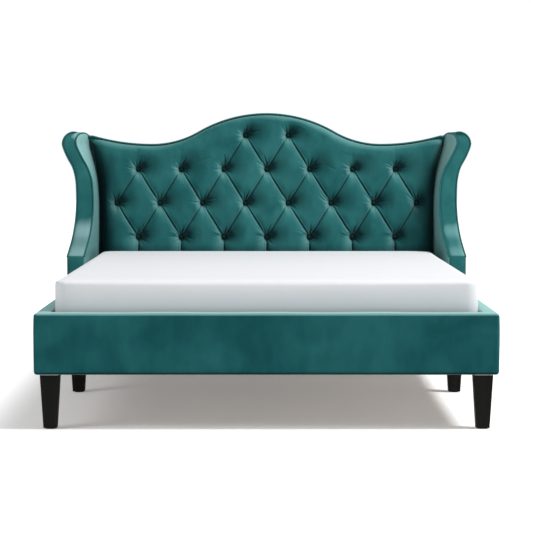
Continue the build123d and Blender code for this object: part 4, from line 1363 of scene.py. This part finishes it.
def soft_block(low, high, corner, edge, step):
    """A block with round upright corners and smaller rounding along its top and bottom."""
    walls = [cell_lines(low[axis], high[axis], edge if axis == 2 else corner, step) for axis in range(3)]
    points, faces = cell_skin(walls)
    flat_low, flat_high = low.copy(), high.copy()
    flat_low[2], flat_high[2] = -1e3, 1e3
    upright = rounded(points, flat_low, flat_high, corner)
    middle = (low[2] + high[2]) / 2
    height = points[:, 2] - middle
    straight = high[2] - middle - edge
    past = np.clip(np.abs(height) - straight, 0, edge)
    outward = upright - np.clip(upright, flat_low + corner, flat_high - corner)
    reach = np.linalg.norm(outward, axis=1, keepdims=True)
    side_depth = np.clip(reach[:, 0] - (corner - edge), 0, edge)
    both = np.hypot(side_depth, past)
    scale = np.where(both > 0, np.maximum(side_depth, past) / np.maximum(both, 1e-9), 1)
    new_reach = np.where(side_depth > 0, (corner - edge) + side_depth * scale, reach[:, 0])
    upright += outward / np.maximum(reach, 1e-9) * (new_reach - reach[:, 0])[:, None]
    new_height = np.minimum(np.abs(height), straight) + past * scale
    upright[:, 2] = middle + np.where(height > 0, new_height, -new_height)
    return upright, faces


inset = np.array([MATTRESS_CAP, MATTRESS_CAP, MATTRESS_CAP / 3])
points, faces = soft_block(mattress_low + inset, mattress_high - inset, MATTRESS_CORNER, MATTRESS_EDGE,
                           MATTRESS_STEP)
held = np.where(points[:, 2] < mattress_low[2] + HELD_HEIGHT, 1.0, 0.0)
points = puffed(points, faces, held, MATTRESS_PRESSURE, MATTRESS_CAP)
points = np.clip(points, mattress_low - SPARE_BELOW, mattress_high + SPARE_ABOVE)
add_piece("mattress_knit_cover", points, faces, mattress_knit, "mattress_cover", "mattress_fabric",
          "mattress", fill=0.9)
foam_skin = soft_block(core_low + inset, core_high - inset, FOAM_CORNER, FOAM_EDGE, FOAM_STEP)
add_piece("mattress_foam", *foam_skin, foam, "mattress_core", "foam", "mattress", fill=1.0)
print("mattress", [round(float(size), 3) for size in mattress_high - mattress_low])

# %% [markdown]
# ## Floor, light and background
#
# The studio is white and plain. A large soft lamp stands high on the right in front, a weaker one on the
# left and a faint one above, and the world fills the shadows. The floor shows white to the camera where no
# shadow falls. The world behind is white to the camera, in reflections and through glass.

# %% Floor and world
FLOOR_SIZE = 60.0
SHADOW_BOX = (0.86, 1.14)
SHADOW_FADE = 0.35
UNLIT_GLOW = 0.22
WORLD_LIGHT = 0.28
WHITE = (1, 1, 1, 1)


def white_floor():
    """A pale floor that shows white in full light and keeps shadows."""
    finish = Finish("studio_floor")
    seen = finish.node("LightPath", output="Is Camera Ray")
    speckle = finish.noise(60.0, 2.0)
    across, along, _ = finish.axes()
    away = (abs(across) - SHADOW_BOX[0]).larger(abs(along) - SHADOW_BOX[1])
    far = finish.node("MapRange", {"interpolation_type": "SMOOTHSTEP"},
                      {0: away, 1: 0.0, 2: SHADOW_FADE, 3: UNLIT_GLOW, 4: 1.0})
    glow = finish.node("Emission", {}, {"Color": WHITE, "Strength": seen * far})
    paint = finish.node("BsdfDiffuse", {}, {"Color": (speckle * 0.02 + 0.9).between((0, 0, 0, 1), WHITE)})
    both = finish.node("AddShader", {}, {0: paint, 1: glow})
    finish.node("OutputMaterial", {}, {"Surface": both})
    return finish.block


half = FLOOR_SIZE / 2
floor_corners = [(-half, -half, 0), (half, -half, 0), (half, half, 0), (-half, half, 0)]
floor_mesh = make_mesh("studio_floor", floor_corners, [(0, 1, 2, 3)])
floor_mesh.materials.append(white_floor())
floor = placed("studio_floor", floor_mesh)

world = Finish("studio", bpy.data.worlds)
camera_ray, glossy_ray, through_ray = [world.node("LightPath", output=f"Is {kind} Ray")
                                       for kind in ("Camera", "Glossy", "Transmission")]
seen = camera_ray.larger(glossy_ray).larger(through_ray)
sky = world.node("Background", {}, {"Color": WHITE, "Strength": seen * (1 - WORLD_LIGHT) + WORLD_LIGHT})
world.node("OutputWorld", {}, {"Surface": sky})
scene.world = world.block
print("world:", scene.world.name)


# %% Lamps
def soft_lamp(name, place, aim, size, power):
    """A square soft lamp that faces a point."""
    light = bpy.data.lights.new(name, "AREA")
    light.shape, light.size, light.energy = "SQUARE", size, power
    lamp = placed(name, light)
    lamp.location = place
    lamp.rotation_mode = "QUATERNION"
    lamp.rotation_quaternion = (Vector(aim) - Vector(place)).to_track_quat("-Z", "Y")


soft_lamp("key_lamp", (4.94, -1.9, 6.3), (0, 0.3, 0.6), 1.5, 600)
soft_lamp("left_lamp", (-3.4, -2.6, 2.6), (0, 0.3, 0.6), 1.6, 47)
soft_lamp("top_lamp", (0.0, 0.2, 4.0), (0, 0.4, 0.5), 1.8, 5)
